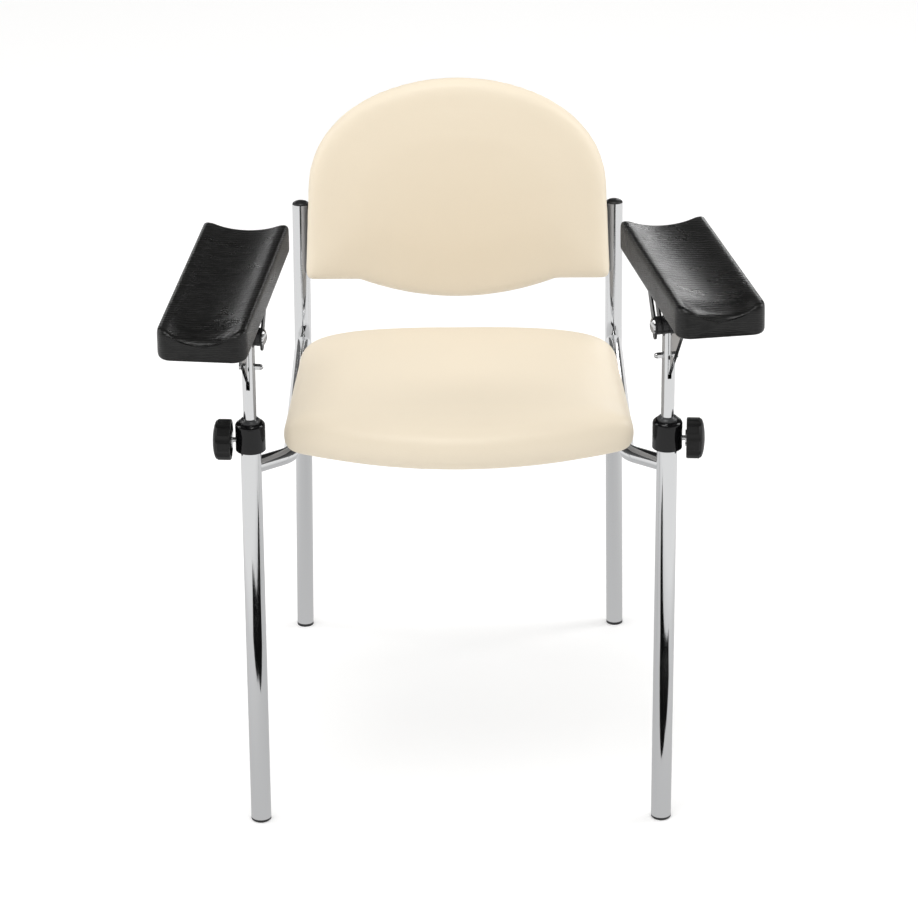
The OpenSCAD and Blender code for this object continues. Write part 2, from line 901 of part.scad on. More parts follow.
module stop_nut(s) {
  color(chrome)
    arm_frame(s)
      translate([-post_r - run_gap, 0, -stop_drop])
        rotate([0, -90, 0])
          difference() {
            union() {
              cylinder(h = stop_nut_h, r = stop_nut_r, $fn = 6);
              translate([0, 0, stop_nut_h])
                rotate_extrude()
                  polygon(concat([[0, 0]],
                    [for (a = [0:15:90])
                      [stop_nut_r * cos(a) * cos(30), stop_nut_r * sin(a)]]));
            }
            translate([0, 0, -overrun]) cylinder(h = stop_nut_h + overrun, r = stop_r);
          }
}

// Two black ears on the inner side, bent down and forward from a flange under the pad
ear_top = pad_lift - flange_t;
module ear(inner, thick, tail) {
  translate([-inner - thick, 0, 0])
    rotate([90, 0, 90])
      linear_extrude(height = thick)
        difference() {
          union() {
            polygon([
              [-ear_w / 2, ear_w / 4], [-ear_w / 2, ear_w / 2 - tail],
              [ear_w / 2, ear_w / 2 - tail], [ear_w / 2, -ear_w / 4],
              [ear_set_back + ear_w / 2, ear_top], [ear_set_back - ear_w / 2, ear_top]
            ]);
            translate([0, ear_w / 2 - tail]) circle(r = ear_w / 2);
          }
          circle(r = bolt_r + run_gap);
        }
}

module tilt_ears(s) {
  color(black)
    tilt_frame(s)
      difference() {
        union() {
          ear(saddle_face + run_gap, ear_t - run_gap * 2, saddle_r);
          ear(ear_far + run_gap, ear_t - run_gap * 2, ear_tail);
          translate([-head_face + run_gap, -flange_front, ear_top])
            cube([head_face + flange_out - run_gap, flange_front + flange_rear,
              flange_t - seat_gap]);
        }
        pad_screw_set(s, slide_gap);
      }
}

// Chromed blade: lug on the bolt, arc slot for the stop bolt, strut to the pad
blade_tip_r = 5;
blade_tip_drop = 58;
blade_front_drop = 61;
blade_neck = 11;
arc_steps = 16;
cap_steps = 6;
function arc_point(radius, angle) = [radius * sin(angle), -radius * cos(angle)];
function arc_cap(radius, half_w, angle) = [for (k = [1:cap_steps - 1])
  arc_point(radius, angle) + arc_point(half_w, angle + 180 * k / cap_steps)];
module arc_slot(radius, half_w, half_angle) {
  cap = arc_cap(radius, half_w, half_angle);
  polygon(concat(
    [for (k = [0:arc_steps])
      arc_point(radius + half_w, half_angle * (2 * k / arc_steps - 1))],
    cap,
    [for (k = [arc_steps:-1:0])
      arc_point(radius - half_w, half_angle * (2 * k / arc_steps - 1))],
    [for (k = [len(cap) - 1:-1:0]) [-cap[k][0], cap[k][1]]]
  ));
}

module tilt_blade(s) {
  color(chrome)
    tilt_frame(s)
      difference() {
        union() {
          // drawn in a plane of forward and up, then set upright across the arm
          translate([blade_t / 2, 0, 0])
            rotate([90, 0, -90])
              linear_extrude(height = blade_t)
                difference() {
                  union() {
                    circle(r = blade_lug_r);
                    translate([0, -blade_tip_drop]) circle(r = blade_tip_r);
                    polygon([
                      [-blade_lug_r, 0], [-stop_drop * 0.62, -stop_drop * 0.78],
                      [-stop_drop * 0.64, -stop_drop * 1.12], [-blade_tip_r, -blade_tip_drop],
                      [blade_tip_r, -blade_front_drop],
                      [blade_flange_end, ear_top], [blade_flange_start, ear_top],
                      [blade_neck, blade_neck / 4], [0, 0]
                    ]);
                  }
                  circle(r = bolt_r + run_gap);
                  arc_slot(stop_drop, stop_r + stop_slot_gap, tilt_range);
                }
          translate([-blade_flange_w / 2, -blade_flange_end, ear_top])
            cube([blade_flange_w, blade_flange_end - blade_flange_start, flange_t - seat_gap]);
        }
        pad_screw_set(s, slide_gap);
      }
}

// Screws up into the pad, through both flanges
function pad_screw_places() = [
  [flange_out - screw_head_r * 2, flange_rear - screw_head_r * 2],
  [flange_out - screw_head_r * 2, -flange_front + screw_head_r * 2],
  [blade_flange_w / 2 - screw_head_r, -blade_flange_end + screw_head_r * 2],
  [-blade_flange_w / 2 + screw_head_r, -blade_flange_end + screw_head_r * 2]
];
module pad_screw_set(s, gap) {
  for (p = pad_screw_places())
    translate([p[0], p[1], ear_top - overrun / 2])
      cylinder(h = flange_t + screw_bite, r = screw_r + gap);
}

module pad_screws(s) {
  color(chrome)
    tilt_frame(s) {
      pad_screw_set(s, 0);
      for (p = pad_screw_places())
        translate([p[0], p[1], ear_top - screw_head_h - run_gap])
          cylinder(h = screw_head_h, r1 = screw_head_r - screw_head_h / 2, r2 = screw_head_r);
    }
}

// Arm pad: moulded gutter, open at the rear, with a low rounded front

// Outer side of the section: share of the half width, share of the height
pad_side_shares = [
  [0, 0], [0.42, 0], [0.88, 0], [0.96, 0.025], [0.992, 0.09], [1, 0.22], [1, 0.55],
  [0.998, 0.8], [0.988, 0.9], [0.965, 0.965], [0.925, 0.997], [0.87, 1]
];
pad_gutter_steps = 7;
pad_ridge_share = 0.87;
function gutter_dip(q, deep) = deep * (1 - pow(q, 2)) * (1 - pow(q, 8));
function pad_half(deep) = concat(
  [for (p = pad_side_shares) [p[0] * pad_w / 2, p[1] * pad_h]],
  [for (k = [pad_gutter_steps - 1:-1:0])
    let (q = k / pad_gutter_steps)
    [q * pad_ridge_share * pad_w / 2, pad_h - gutter_dip(q, deep)]]
);
// Ring of the pad at a place along it: inset across, inset in height
function pad_ring(along, across, low, high, deep) =
  let (
    h = pad_half(deep),
    n = len(h),
    full = concat(h, [for (k = [n - 2:-1:1]) [-h[k][0], h[k][1]]])
  )
  [for (p = full) [p[0] * (1 - across * 2 / pad_w),
    low + p[1] * (pad_h - low - high) / pad_h, along]];

pad_front_round = 14;
pad_top_round = 7;
pad_low_round = 1;
pad_rear_round = 2.5;
pad_lip_share = 0.4;
// Places along the straight part of the pad, as shares of its length
pad_run_shares = [0.2, 0.4, 0.6, 0.78, 0.87];
module pad(s) {
  back = pad_l / 2 - pad_forward;
  front = pad_l / 2 + pad_forward;
  deep = gutter_depth;
  color(black)
    tilt_frame(s)
      translate([pad_out, 0, pad_lift])
        difference() {
          rotate([90, 0, 0])
            skin(concat(
              [for (a = [0, 30, 60, 90])
                pad_ring(-back + pad_rear_round * (1 - cos(a)),
                  pad_rear_round * (1 - sin(a)), pad_rear_round * (1 - sin(a)),
                  pad_rear_round * (1 - sin(a)), deep)],
              [for (q = pad_run_shares)
                pad_ring(-back + q * pad_l, 0, 0, 0, q < 0.8 ? deep : deep * 0.85)],
              [for (a = [0, 22.5, 45, 65, 82])
                pad_ring(front - pad_front_round * (1 - sin(a)),
                  pad_front_round * (1 - cos(a)), pad_low_round * (1 - cos(a)),
                  pad_top_round * (1 - cos(a)), deep * (a > 0 ? pad_lip_share : 0.6))]
            ), [0, pad_h / 2, -back], [0, pad_h / 2, front]);
          translate([-pad_out, 0, -pad_lift]) pad_screw_set(s, slide_gap);
        }
}

// Nodes

front_leg(-1);  // front_leg_left
front_leg(1);  // front_leg_right
rear_leg(-1);  // rear_leg_left
rear_leg(1);  // rear_leg_right
side_rail(-1);  // side_rail_left
side_rail(1);  // side_rail_right
cross_rail(cross_front_depth);  // cross_rail_front
cross_rail(cross_rear_depth);  // cross_rail_rear
front_glide(-1);  // glide_front_left
front_glide(1);  // glide_front_right
rear_glide(-1);  // glide_rear_left
rear_glide(1);  // glide_rear_right
upright_cap(-1);  // upright_cap_left
upright_cap(1);  // upright_cap_right
seat_board();
seat_cushion();
seat_screws();
back_shell();
back_cushion();
back_tabs(-1);  // back_tabs_left
back_tabs(1);  // back_tabs_right
back_screws();
collar(-1);  // collar_left
collar(1);  // collar_right
bush(-1);  // bush_left
bush(1);  // bush_right
post_foot(-1);  // post_foot_left
post(-1);  // post_left
post_cap(-1);  // post_cap_left
tilt_saddle(-1);  // tilt_saddle_left
tilt_spacer(-1);  // tilt_spacer_left
tilt_bolt(-1);  // tilt_bolt_left
tilt_nut(-1);  // tilt_nut_left
stop_bolt(-1);  // stop_bolt_left
stop_nut(-1);  // stop_nut_left
tilt_ears(-1);  // tilt_ears_left
tilt_blade(-1);  // tilt_blade_left
pad(-1);  // pad_left
pad_screws(-1);  // pad_screws_left
clamp_tip(-1);  // clamp_tip_left
clamp_stud(-1);  // clamp_stud_left
clamp_knob(-1);  // clamp_knob_left
post_foot(1);  // post_foot_right
post(1);  // post_right
post_cap(1);  // post_cap_right
tilt_saddle(1);  // tilt_saddle_right
tilt_spacer(1);  // tilt_spacer_right
tilt_bolt(1);  // tilt_bolt_right
tilt_nut(1);  // tilt_nut_right
stop_bolt(1);  // stop_bolt_right
stop_nut(1);  // stop_nut_right
tilt_ears(1);  // tilt_ears_right
tilt_blade(1);  // tilt_blade_right
pad(1);  // pad_right
pad_screws(1);  // pad_screws_right
clamp_tip(1);  // clamp_tip_right
clamp_stud(1);  // clamp_stud_right
clamp_knob(1);  // clamp_knob_right
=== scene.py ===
# %% [markdown]
# # A blood-draw chair
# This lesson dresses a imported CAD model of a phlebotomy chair: bright chromed tubes, cream
# vinyl cushions, and two black foam arm pads that rise, swivel and tilt on slotted posts.
# The CAD gives every place and size. Blender adds what a drawing board can't: soft forms,
# grain, gloss and light. Everything is in metres, Z is up, and the chair faces -Y.

# %% Load the frame
import bpy
import bmesh
import json
import math
from mathutils import Matrix, Vector


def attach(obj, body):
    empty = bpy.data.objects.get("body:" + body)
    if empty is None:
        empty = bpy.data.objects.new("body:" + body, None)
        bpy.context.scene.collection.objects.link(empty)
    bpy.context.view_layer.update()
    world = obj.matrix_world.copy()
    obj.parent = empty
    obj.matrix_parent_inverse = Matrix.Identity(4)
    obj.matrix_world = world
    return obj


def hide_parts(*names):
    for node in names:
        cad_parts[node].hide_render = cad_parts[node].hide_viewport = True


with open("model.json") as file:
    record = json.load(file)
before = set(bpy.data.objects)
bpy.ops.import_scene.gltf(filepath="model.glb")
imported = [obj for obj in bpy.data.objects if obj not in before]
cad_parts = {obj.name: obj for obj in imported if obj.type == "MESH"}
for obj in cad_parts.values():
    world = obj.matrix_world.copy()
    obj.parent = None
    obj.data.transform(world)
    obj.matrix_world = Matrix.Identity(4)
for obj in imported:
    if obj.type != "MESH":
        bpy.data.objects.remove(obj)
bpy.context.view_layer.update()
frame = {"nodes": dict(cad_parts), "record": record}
nodes = frame["nodes"]
scene = bpy.context.scene
SIDES = (("left", -1), ("right", 1))

# %% [markdown]
# ## Sizes that the dressed pieces share with the CAD
# A replaced piece has to sit exactly where its CAD node sits, so the sizes that place the
# seat, the back and the arms are repeated here once, in metres, and used everywhere below.

# %% Shared sizes
FRONT_Y = -0.1805          # plane of the front legs
LEG_X = 0.250              # front legs, half their spacing
LEG_DEPTH = 0.476          # from the front legs back to the bend of the rear ones
BEND_Y, BEND_Z = FRONT_Y + LEG_DEPTH, 0.470
RECLINE = math.radians(5.7)
SEAT_SLOPE = math.radians(5)
RAIL_HEIGHT, SEAT_RISE = 0.486, 0.018
SEAT_Z = RAIL_HEIGHT + SEAT_RISE         # underside of the seat at the front legs
PIVOT_HEIGHT, POST_STEP = 0.662, 0.006   # the tilt bolts, and the posts' steps down and up
PIVOT_Z = {"left": PIVOT_HEIGHT - POST_STEP, "right": PIVOT_HEIGHT + POST_STEP}
SWIVEL = {"left": math.radians(-6.5), "right": math.radians(9)}
TILT = {"left": 0.0, "right": math.radians(4)}


def seat_place():
    """The seat's own frame: Z = 0 is its underside, sloping down to the rear."""
    return Matrix.Translation((0, FRONT_Y, SEAT_Z)) @ Matrix.Rotation(-SEAT_SLOPE, 4, "X")


def back_place():
    """The back's own frame: X across, Y up along the uprights, Z to the front."""
    turn = Matrix.Rotation(math.pi / 2 - RECLINE, 4, "X")
    return Matrix.Translation((0, BEND_Y, BEND_Z)) @ turn


def arm_place(name, side):
    """An arm's own frame at its tilt bolt: X outboard, -Y forward, Z up."""
    m = Matrix.Translation((side * LEG_X, FRONT_Y, PIVOT_Z[name]))
    m = m @ Matrix.Rotation(SWIVEL[name], 4, "Z")
    if side < 0:
        m = m @ Matrix.Scale(-1, 4, (1, 0, 0))
    return m @ Matrix.Rotation(-TILT[name], 4, "X")


print("seat frame", [round(v, 3) for v in seat_place().translation])

# %% [markdown]
# ## Camera
# The photograph was taken from the front with a long lens, from well above the seat. A
# camera 4.6 m in front of the front legs and 2.6 m up, pitched down by 25 degrees, puts the
# legs, the seat and the pads on the picture's own places. A long lens keeps the rear legs
# almost as large as the front ones. The picture leans by a third of a degree: its right feet
# stand a little higher than its left ones, so the camera rolls by that much. There is no
# shift and no depth of field.

# %% Camera
CAMERA_AHEAD, CAMERA_UP = 4.600, 2.626   # from the front legs, and from the floor
PITCH, ROLL = 0.434, 0.006               # radians
LENS, FILM_WIDTH = 165.33, 36.0          # millimetres
camera = bpy.data.objects.new("camera", bpy.data.cameras.new("camera"))
scene.collection.objects.link(camera)
camera.location = (0.0, FRONT_Y - CAMERA_AHEAD, CAMERA_UP)
aim = Matrix.Rotation(math.pi / 2 - PITCH, 3, "X") @ Matrix.Rotation(-ROLL, 3, "Z")
camera.rotation_euler = aim.to_euler()
camera.data.lens = LENS
camera.data.sensor_width = FILM_WIDTH
camera.data.clip_end = 60.0
scene.camera = camera
print("camera at", tuple(round(v, 3) for v in camera.location))

# %% [markdown]
# ## Studio
# Catalogue pictures of chromed furniture are made on white paper under large soft boxes,
# with dark flags round the lens. Matt things see an even white room. Shiny things see the
# flags, the boxes and the floor, and chrome shows nothing else. So the room is built in two
# layers: an even white one for matt surfaces, and one of greys for reflections. Behind the
# chair the second layer is nearly dark, or black things seen at a shallow angle turn grey.

# %% The room
scene.view_settings.view_transform = "Standard"
scene.view_settings.look = "None"
EVEN_WHITE, EVEN_STRENGTH = (1.0, 0.995, 0.985), 0.66
# The reflected greys, from the horizon and below it (0) up to straight overhead (1).
FLAG_GREYS = ((0.0, 0.90), (0.16, 0.80), (0.30, 0.10), (0.70, 0.08), (0.86, 0.24), (1.0, 0.30))
# Turning from beside the chair to behind it, the reflected room dims to a sixth of its light.
FADE_BEHIND = {"From Min": 0.10, "From Max": 0.60, "To Min": 1.0, "To Max": 0.16}


def fill_ramp(ramp, stops):
    """Gives a new colour ramp its stops, each a place and a colour, from 0 to 1."""
    first, *between, last = stops
    for element, (at, colour) in zip(ramp.elements, (first, last)):
        element.position, element.color = at, (*colour, 1)
    for at, colour in between:
        ramp.elements.new(at).color = (*colour, 1)


world = bpy.data.worlds.new("studio")
scene.world = world
world.use_nodes = True
wt = world.node_tree
wt.nodes.clear()
w_out = wt.nodes.new("ShaderNodeOutputWorld")
w_path = wt.nodes.new("ShaderNodeLightPath")
w_even = wt.nodes.new("ShaderNodeBackground")
w_even.inputs["Color"].default_value = (*EVEN_WHITE, 1)
w_even.inputs["Strength"].default_value = EVEN_STRENGTH
w_flags = wt.nodes.new("ShaderNodeBackground")
w_co = wt.nodes.new("ShaderNodeTexCoord")
w_xyz = wt.nodes.new("ShaderNodeSeparateXYZ")
w_ramp = wt.nodes.new("ShaderNodeValToRGB")
wt.links.new(w_co.outputs["Generated"], w_xyz.inputs[0])
wt.links.new(w_xyz.outputs["Z"], w_ramp.inputs[0])
wt.links.new(w_ramp.outputs[0], w_flags.inputs["Color"])
w_behind = wt.nodes.new("ShaderNodeMapRange")
w_behind.interpolation_type = "SMOOTHSTEP"
for label, value in FADE_BEHIND.items():
    w_behind.inputs[label].default_value = value
wt.links.new(w_xyz.outputs["Y"], w_behind.inputs["Value"])
wt.links.new(w_behind.outputs["Result"], w_flags.inputs["Strength"])
fill_ramp(w_ramp.color_ramp, [(at, (grey, grey, grey)) for at, grey in FLAG_GREYS])
w_mix = wt.nodes.new("ShaderNodeMixShader")
wt.links.new(w_path.outputs["Is Glossy Ray"], w_mix.inputs[0])
wt.links.new(w_even.outputs[0], w_mix.inputs[1])
wt.links.new(w_flags.outputs[0], w_mix.inputs[2])
wt.links.new(w_mix.outputs[0], w_out.inputs["Surface"])


def turned_to(place, aim):
    """The turn that points something's -Z from its place at another place."""
    return (Vector(aim) - Vector(place)).to_track_quat("-Z", "Y")


def soft_box(name, place, aim, size, power):
    """A broad soft lamp that points at a place."""
    lamp = bpy.data.lights.new(name, "AREA")
    lamp.shape, lamp.energy = "RECTANGLE", power
    lamp.size, lamp.size_y = size
    box = bpy.data.objects.new(name, lamp)
    scene.collection.objects.link(box)
    box.location = place
    box.rotation_euler = turned_to(place, aim).to_euler()


soft_box("top_box", (-0.3, -0.9, 2.9), (0, 0.0, 0.5), (1.6, 1.4), 26)
soft_box("left_box", (-2.6, 0.5, 1.9), (0, 0, 0.6), (0.9, 1.6), 13)
soft_box("right_box", (2.6, 0.7, 2.0), (0, 0, 0.6), (0.9, 1.6), 22)

# %% [markdown]
# ### Floor and cards
# The floor is plain pale paper. Seen in the legs it should be a middle grey that grows
# lighter with distance, so a grey card lies over it that only reflections can see. A dark
# band across the front of the set gives each front leg its black spindle: the round tube
# squeezes the whole band into a narrow streak. A dark stripe further off does the same for
# the uprights. Two bright cards behind the chair put a shine on the slopes of the arm pads,
# the right one broad and the left one narrow.

# %% Floor and cards
FLOOR_HALF = 9             # half the side of the paper
CARD_Z, DARK_Z = 0.0015, 0.003   # the grey card over the paper, the dark ones over that
PAPER_GLOW, PAPER_SEEN = 0.10, 0.27   # to light and reflections, and to the camera


def flat_sheet(name, corners, material, reflections_only=False):
    """One face of the set, hidden from all but reflections if need be."""
    mesh = bpy.data.meshes.new(name)
    mesh.from_pydata(corners, [], [tuple(range(len(corners)))])
    sheet = bpy.data.objects.new(name, mesh)
    sheet.data.materials.append(material)
    scene.collection.objects.link(sheet)
    if reflections_only:
        for ray in ("visible_camera", "visible_diffuse", "visible_shadow", "visible_transmission"):
            setattr(sheet, ray, False)


def shader_of(material):
    """The Principled shader inside a material."""
    return material.node_tree.nodes["Principled BSDF"]


def stage_material(name, colour, roughness, glow, specular):
    """A material for the set, with a white glow of its own."""
    m = bpy.data.materials.new(name)
    m.use_nodes = True
    shader = shader_of(m)
    shader.inputs["Base Color"].default_value = (*colour, 1)
    shader.inputs["Roughness"].default_value = roughness
    shader.inputs["Specular IOR Level"].default_value = specular
    shader.inputs["Emission Color"].default_value = (1, 1, 1, 1)
    shader.inputs["Emission Strength"].default_value = glow
    return m


def square(half, z):
    """The corners of a level square round the chair."""
    return [(-half, -half, z), (half, -half, z), (half, half, z), (-half, half, z)]


paper = stage_material("paper_floor", (0.90, 0.90, 0.90), 0.8, PAPER_GLOW, 0.1)
tree, shader = paper.node_tree, shader_of(paper)
eye = tree.nodes.new("ShaderNodeLightPath")
lit = tree.nodes.new("ShaderNodeMapRange")
lit.inputs["To Min"].default_value, lit.inputs["To Max"].default_value = PAPER_GLOW, PAPER_SEEN
tree.links.new(eye.outputs["Is Camera Ray"], lit.inputs["Value"])
tree.links.new(lit.outputs["Result"], shader.inputs["Emission Strength"])
flat_sheet("floor", square(FLOOR_HALF, 0), paper)

grey_card = stage_material("grey_card", (0, 0, 0), 1.0, 1.0, 0.0)
tree, shader = grey_card.node_tree, shader_of(grey_card)
co = tree.nodes.new("ShaderNodeTexCoord")
far = tree.nodes.new("ShaderNodeVectorMath")
far.operation = "LENGTH"
fade = tree.nodes.new("ShaderNodeValToRGB")
tree.links.new(co.outputs["Object"], far.inputs[0])
tree.links.new(far.outputs["Value"], fade.inputs[0])
tree.links.new(fade.outputs[0], shader.inputs["Emission Color"])
fill_ramp(fade.color_ramp, ((0.0, (0.52, 0.52, 0.525)), (0.45, (0.56, 0.56, 0.5628)),
                            (0.80, (0.64, 0.64, 0.6432)), (1.0, (0.80, 0.80, 0.80))))
flat_sheet("reflected_floor", square(FLOOR_HALF, CARD_Z), grey_card, True)

dark = stage_material("dark_card", (0.003, 0.003, 0.003), 0.9, 0.0, 0.0)
# The band's corners across and from the front legs; the stripe's across and from the middle.
BAND = ((-0.52, -0.44), (-0.109, -0.371), (-0.058, -0.300), (0.213, -0.165), (0.351, -0.209),
        (0.60, -0.170), (0.66, -0.340), (0.422, -0.485), (-0.016, -0.616), (-0.248, -0.711),
        (-0.50, -0.700))
flat_sheet("dark_band", [(x, FRONT_Y + y, DARK_Z) for x, y in BAND], dark, True)
STRIPE = ((-0.95, -2.35), (1.05, -2.35), (1.75, -5.4), (-1.60, -5.4))
flat_sheet("dark_stripe", [(x, y, DARK_Z) for x, y in STRIPE], dark, True)


def glow_card(name, place, aim, size, glow):
    """An upright bright card behind the chair, seen only as a shine on the pads."""
    card = stage_material(name, (0, 0, 0), 1.0, glow, 0.0)
    turn = turned_to(place, aim).to_matrix()
    w, h = size[0] / 2, size[1] / 2
    flat = ((-w, -h, 0), (w, -h, 0), (w, h, 0), (-w, h, 0))
    flat_sheet(name, [Vector(place) + turn @ Vector(c) for c in flat], card, True)


glow_card("shine_right", (0.78, 2.6, 1.12), (0.25, -0.18, 0.72), (0.55, 0.55), 4.2)
glow_card("shine_left", (-0.95, 2.5, 1.12), (-0.25, -0.18, 0.72), (0.30, 0.55), 2.8)
print("studio ready")

# %% [markdown]
# ## Effects that several finishes share
# Real surfaces are never even: they are grained, wiped, textured by their mould or dusty. The
# same effects come back at different strengths, so each is built once as a node group with
# named inputs, and a material that shows it places it with its own values.

# %% Node group helper
def node_group(name, inputs, outputs):
    """An empty shader group with float inputs (name: default) and its in and out nodes."""
    g = bpy.data.node_groups.new(name, "ShaderNodeTree")
    for label, value in inputs.items():
        s = g.interface.new_socket(name=label, in_out="INPUT", socket_type="NodeSocketFloat")
        s.default_value = value
    for label in outputs:
        g.interface.new_socket(name=label, in_out="OUTPUT", socket_type="NodeSocketFloat")
    return g, g.nodes.new("NodeGroupInput"), g.nodes.new("NodeGroupOutput")


def ready(group):
    """Prints a finished group's size and hands the group on."""
    print("group", group.name, "has", len(group.nodes), "nodes")
    return group


def add(tree, kind, **settings):
    """A node with its settings and unlinked input values in one call."""
    n = tree.nodes.new(kind)
    for key, value in settings.items():
        if key.startswith("in_"):
            label = key[3:].replace("_", " ")
            spot = int(label) if label.isdigit() else label
            n.inputs[spot].default_value = value
        else:
            setattr(n, key, value)
    return n


# %% [markdown]
# ### Leather grain
# Coated upholstery and skinned foam both carry an embossed pebble grain: small raised cells
# with creases between them. Cells from a Voronoi texture give the pebbles, and a little
# noise bends their edges so that they don't look like a honeycomb.

# %% Leather grain group
g, gi, go = node_group("leather_grain", {"Scale": 600.0, "Crease": 0.06, "Wander": 0.35},
                       ["Height", "Crease mask"])
co = add(g, "ShaderNodeTexCoord")
bend = add(g, "ShaderNodeTexNoise", in_Detail=2.0)
g.links.new(co.outputs["Object"], bend.inputs["Vector"])
g.links.new(gi.outputs["Scale"], bend.inputs["Scale"])
shift = add(g, "ShaderNodeVectorMath", operation="SCALE")
g.links.new(bend.outputs["Color"], shift.inputs[0])
size = add(g, "ShaderNodeMath", operation="DIVIDE")
g.links.new(gi.outputs["Wander"], size.inputs[0])
g.links.new(gi.outputs["Scale"], size.inputs[1])
g.links.new(size.outputs[0], shift.inputs["Scale"])
moved = add(g, "ShaderNodeVectorMath", operation="ADD")
g.links.new(co.outputs["Object"], moved.inputs[0])
g.links.new(shift.outputs[0], moved.inputs[1])
cells = add(g, "ShaderNodeTexVoronoi", feature="DISTANCE_TO_EDGE")
g.links.new(moved.outputs[0], cells.inputs["Vector"])
g.links.new(gi.outputs["Scale"], cells.inputs["Scale"])
crease = add(g, "ShaderNodeMapRange", interpolation_type="SMOOTHERSTEP", in_From_Min=0.0)
g.links.new(cells.outputs["Distance"], crease.inputs["Value"])
g.links.new(gi.outputs["Crease"], crease.inputs["From Max"])
fine = add(g, "ShaderNodeTexNoise", in_Detail=3.0, in_Roughness=0.6)
fine_scale = add(g, "ShaderNodeMath", operation="MULTIPLY", in_1=2.6)
g.links.new(gi.outputs["Scale"], fine_scale.inputs[0])
g.links.new(fine_scale.outputs[0], fine.inputs["Scale"])
g.links.new(co.outputs["Object"], fine.inputs["Vector"])
mixed = add(g, "ShaderNodeMath", operation="MULTIPLY_ADD", in_1=0.35)
g.links.new(fine.outputs["Fac"], mixed.inputs[0])
g.links.new(crease.outputs["Result"], mixed.inputs[2])
g.links.new(mixed.outputs[0], go.inputs["Height"])
turned = add(g, "ShaderNodeMath", operation="SUBTRACT", in_0=1.0)
g.links.new(crease.outputs["Result"], turned.inputs[1])
g.links.new(turned.outputs[0], go.inputs["Crease mask"])
LEATHER_GRAIN = ready(g)

# %% [markdown]
# ### Crinkle grain
# Skinned foam wrinkles a little as it leaves its mould: short creases run across the pad in
# close rows. A wave texture gives the rows, noise bends them and breaks them into short
# pieces, and fine leather cells lie over them. Height is added to depth along the pad, so
# that closer rows also run round its front wall.

# %% Crinkle grain group
g, gi, go = node_group("crinkle_grain", {"Rows": 52.0, "Across": 60.0, "Along": 170.0,
                                         "Fine": 0.2}, ["Height"])
co = add(g, "ShaderNodeTexCoord")
place = add(g, "ShaderNodeSeparateXYZ")
g.links.new(co.outputs["Object"], place.inputs[0])
slant = add(g, "ShaderNodeMath", operation="MULTIPLY_ADD", in_1=2.6)
g.links.new(place.outputs["Z"], slant.inputs[0])
g.links.new(place.outputs["Y"], slant.inputs[2])
laid = add(g, "ShaderNodeCombineXYZ")
g.links.new(place.outputs["X"], laid.inputs["X"])
g.links.new(slant.outputs[0], laid.inputs["Y"])
g.links.new(place.outputs["Z"], laid.inputs["Z"])
rows = add(g, "ShaderNodeTexWave", wave_type="BANDS", bands_direction="Y",
           in_Distortion=5.5, in_Detail=3.0, in_Detail_Scale=1.6)
g.links.new(laid.outputs[0], rows.inputs["Vector"])
g.links.new(gi.outputs["Rows"], rows.inputs["Scale"])
rate = add(g, "ShaderNodeCombineXYZ")
g.links.new(gi.outputs["Across"], rate.inputs["X"])
g.links.new(gi.outputs["Along"], rate.inputs["Y"])
g.links.new(gi.outputs["Along"], rate.inputs["Z"])
spot = add(g, "ShaderNodeVectorMath", operation="MULTIPLY")
g.links.new(co.outputs["Object"], spot.inputs[0])
g.links.new(rate.outputs[0], spot.inputs[1])
gaps = add(g, "ShaderNodeTexNoise", in_Scale=1.0, in_Detail=3.0, in_Roughness=0.6)
g.links.new(spot.outputs[0], gaps.inputs["Vector"])
broken = add(g, "ShaderNodeMapRange", in_From_Min=0.36, in_From_Max=0.62,
             in_To_Min=0.15, in_To_Max=1.0)
g.links.new(gaps.outputs["Fac"], broken.inputs["Value"])
pieces = add(g, "ShaderNodeMath", operation="MULTIPLY")
g.links.new(rows.outputs["Fac"], pieces.inputs[0])
g.links.new(broken.outputs["Result"], pieces.inputs[1])
pebble = add(g, "ShaderNodeGroup", node_tree=LEATHER_GRAIN)
pebble.inputs["Scale"].default_value = 420.0
pebble.inputs["Crease"].default_value = 0.16
pebble.inputs["Wander"].default_value = 0.9
height = add(g, "ShaderNodeMath", operation="MULTIPLY_ADD")
g.links.new(pebble.outputs["Height"], height.inputs[0])
g.links.new(gi.outputs["Fine"], height.inputs[1])
g.links.new(pieces.outputs[0], height.inputs[2])
g.links.new(height.outputs[0], go.inputs["Height"])
CRINKLE_GRAIN = ready(g)

# %% [markdown]
# ### Handling smudges and mould texture
# Smooth surfaces pick up a faint cloudiness from being wiped and held, which breaks up
# reflections. Moulded plastic has a fine spark-eroded texture. Both are noise at different
# scales: one drives roughness, the other drives a very low bump.

# %% Smudge and mould texture groups
g, gi, go = node_group("smudge", {"Scale": 9.0, "Low": 0.1, "High": 0.2}, ["Roughness"])
co = add(g, "ShaderNodeTexCoord")
cloud = add(g, "ShaderNodeTexNoise", in_Detail=5.0, in_Roughness=0.62, in_Distortion=0.4)
g.links.new(co.outputs["Object"], cloud.inputs["Vector"])
g.links.new(gi.outputs["Scale"], cloud.inputs["Scale"])
span = add(g, "ShaderNodeMapRange", in_From_Min=0.32, in_From_Max=0.68)
g.links.new(cloud.outputs["Fac"], span.inputs["Value"])
g.links.new(gi.outputs["Low"], span.inputs["To Min"])
g.links.new(gi.outputs["High"], span.inputs["To Max"])
g.links.new(span.outputs["Result"], go.inputs["Roughness"])
SMUDGE = ready(g)

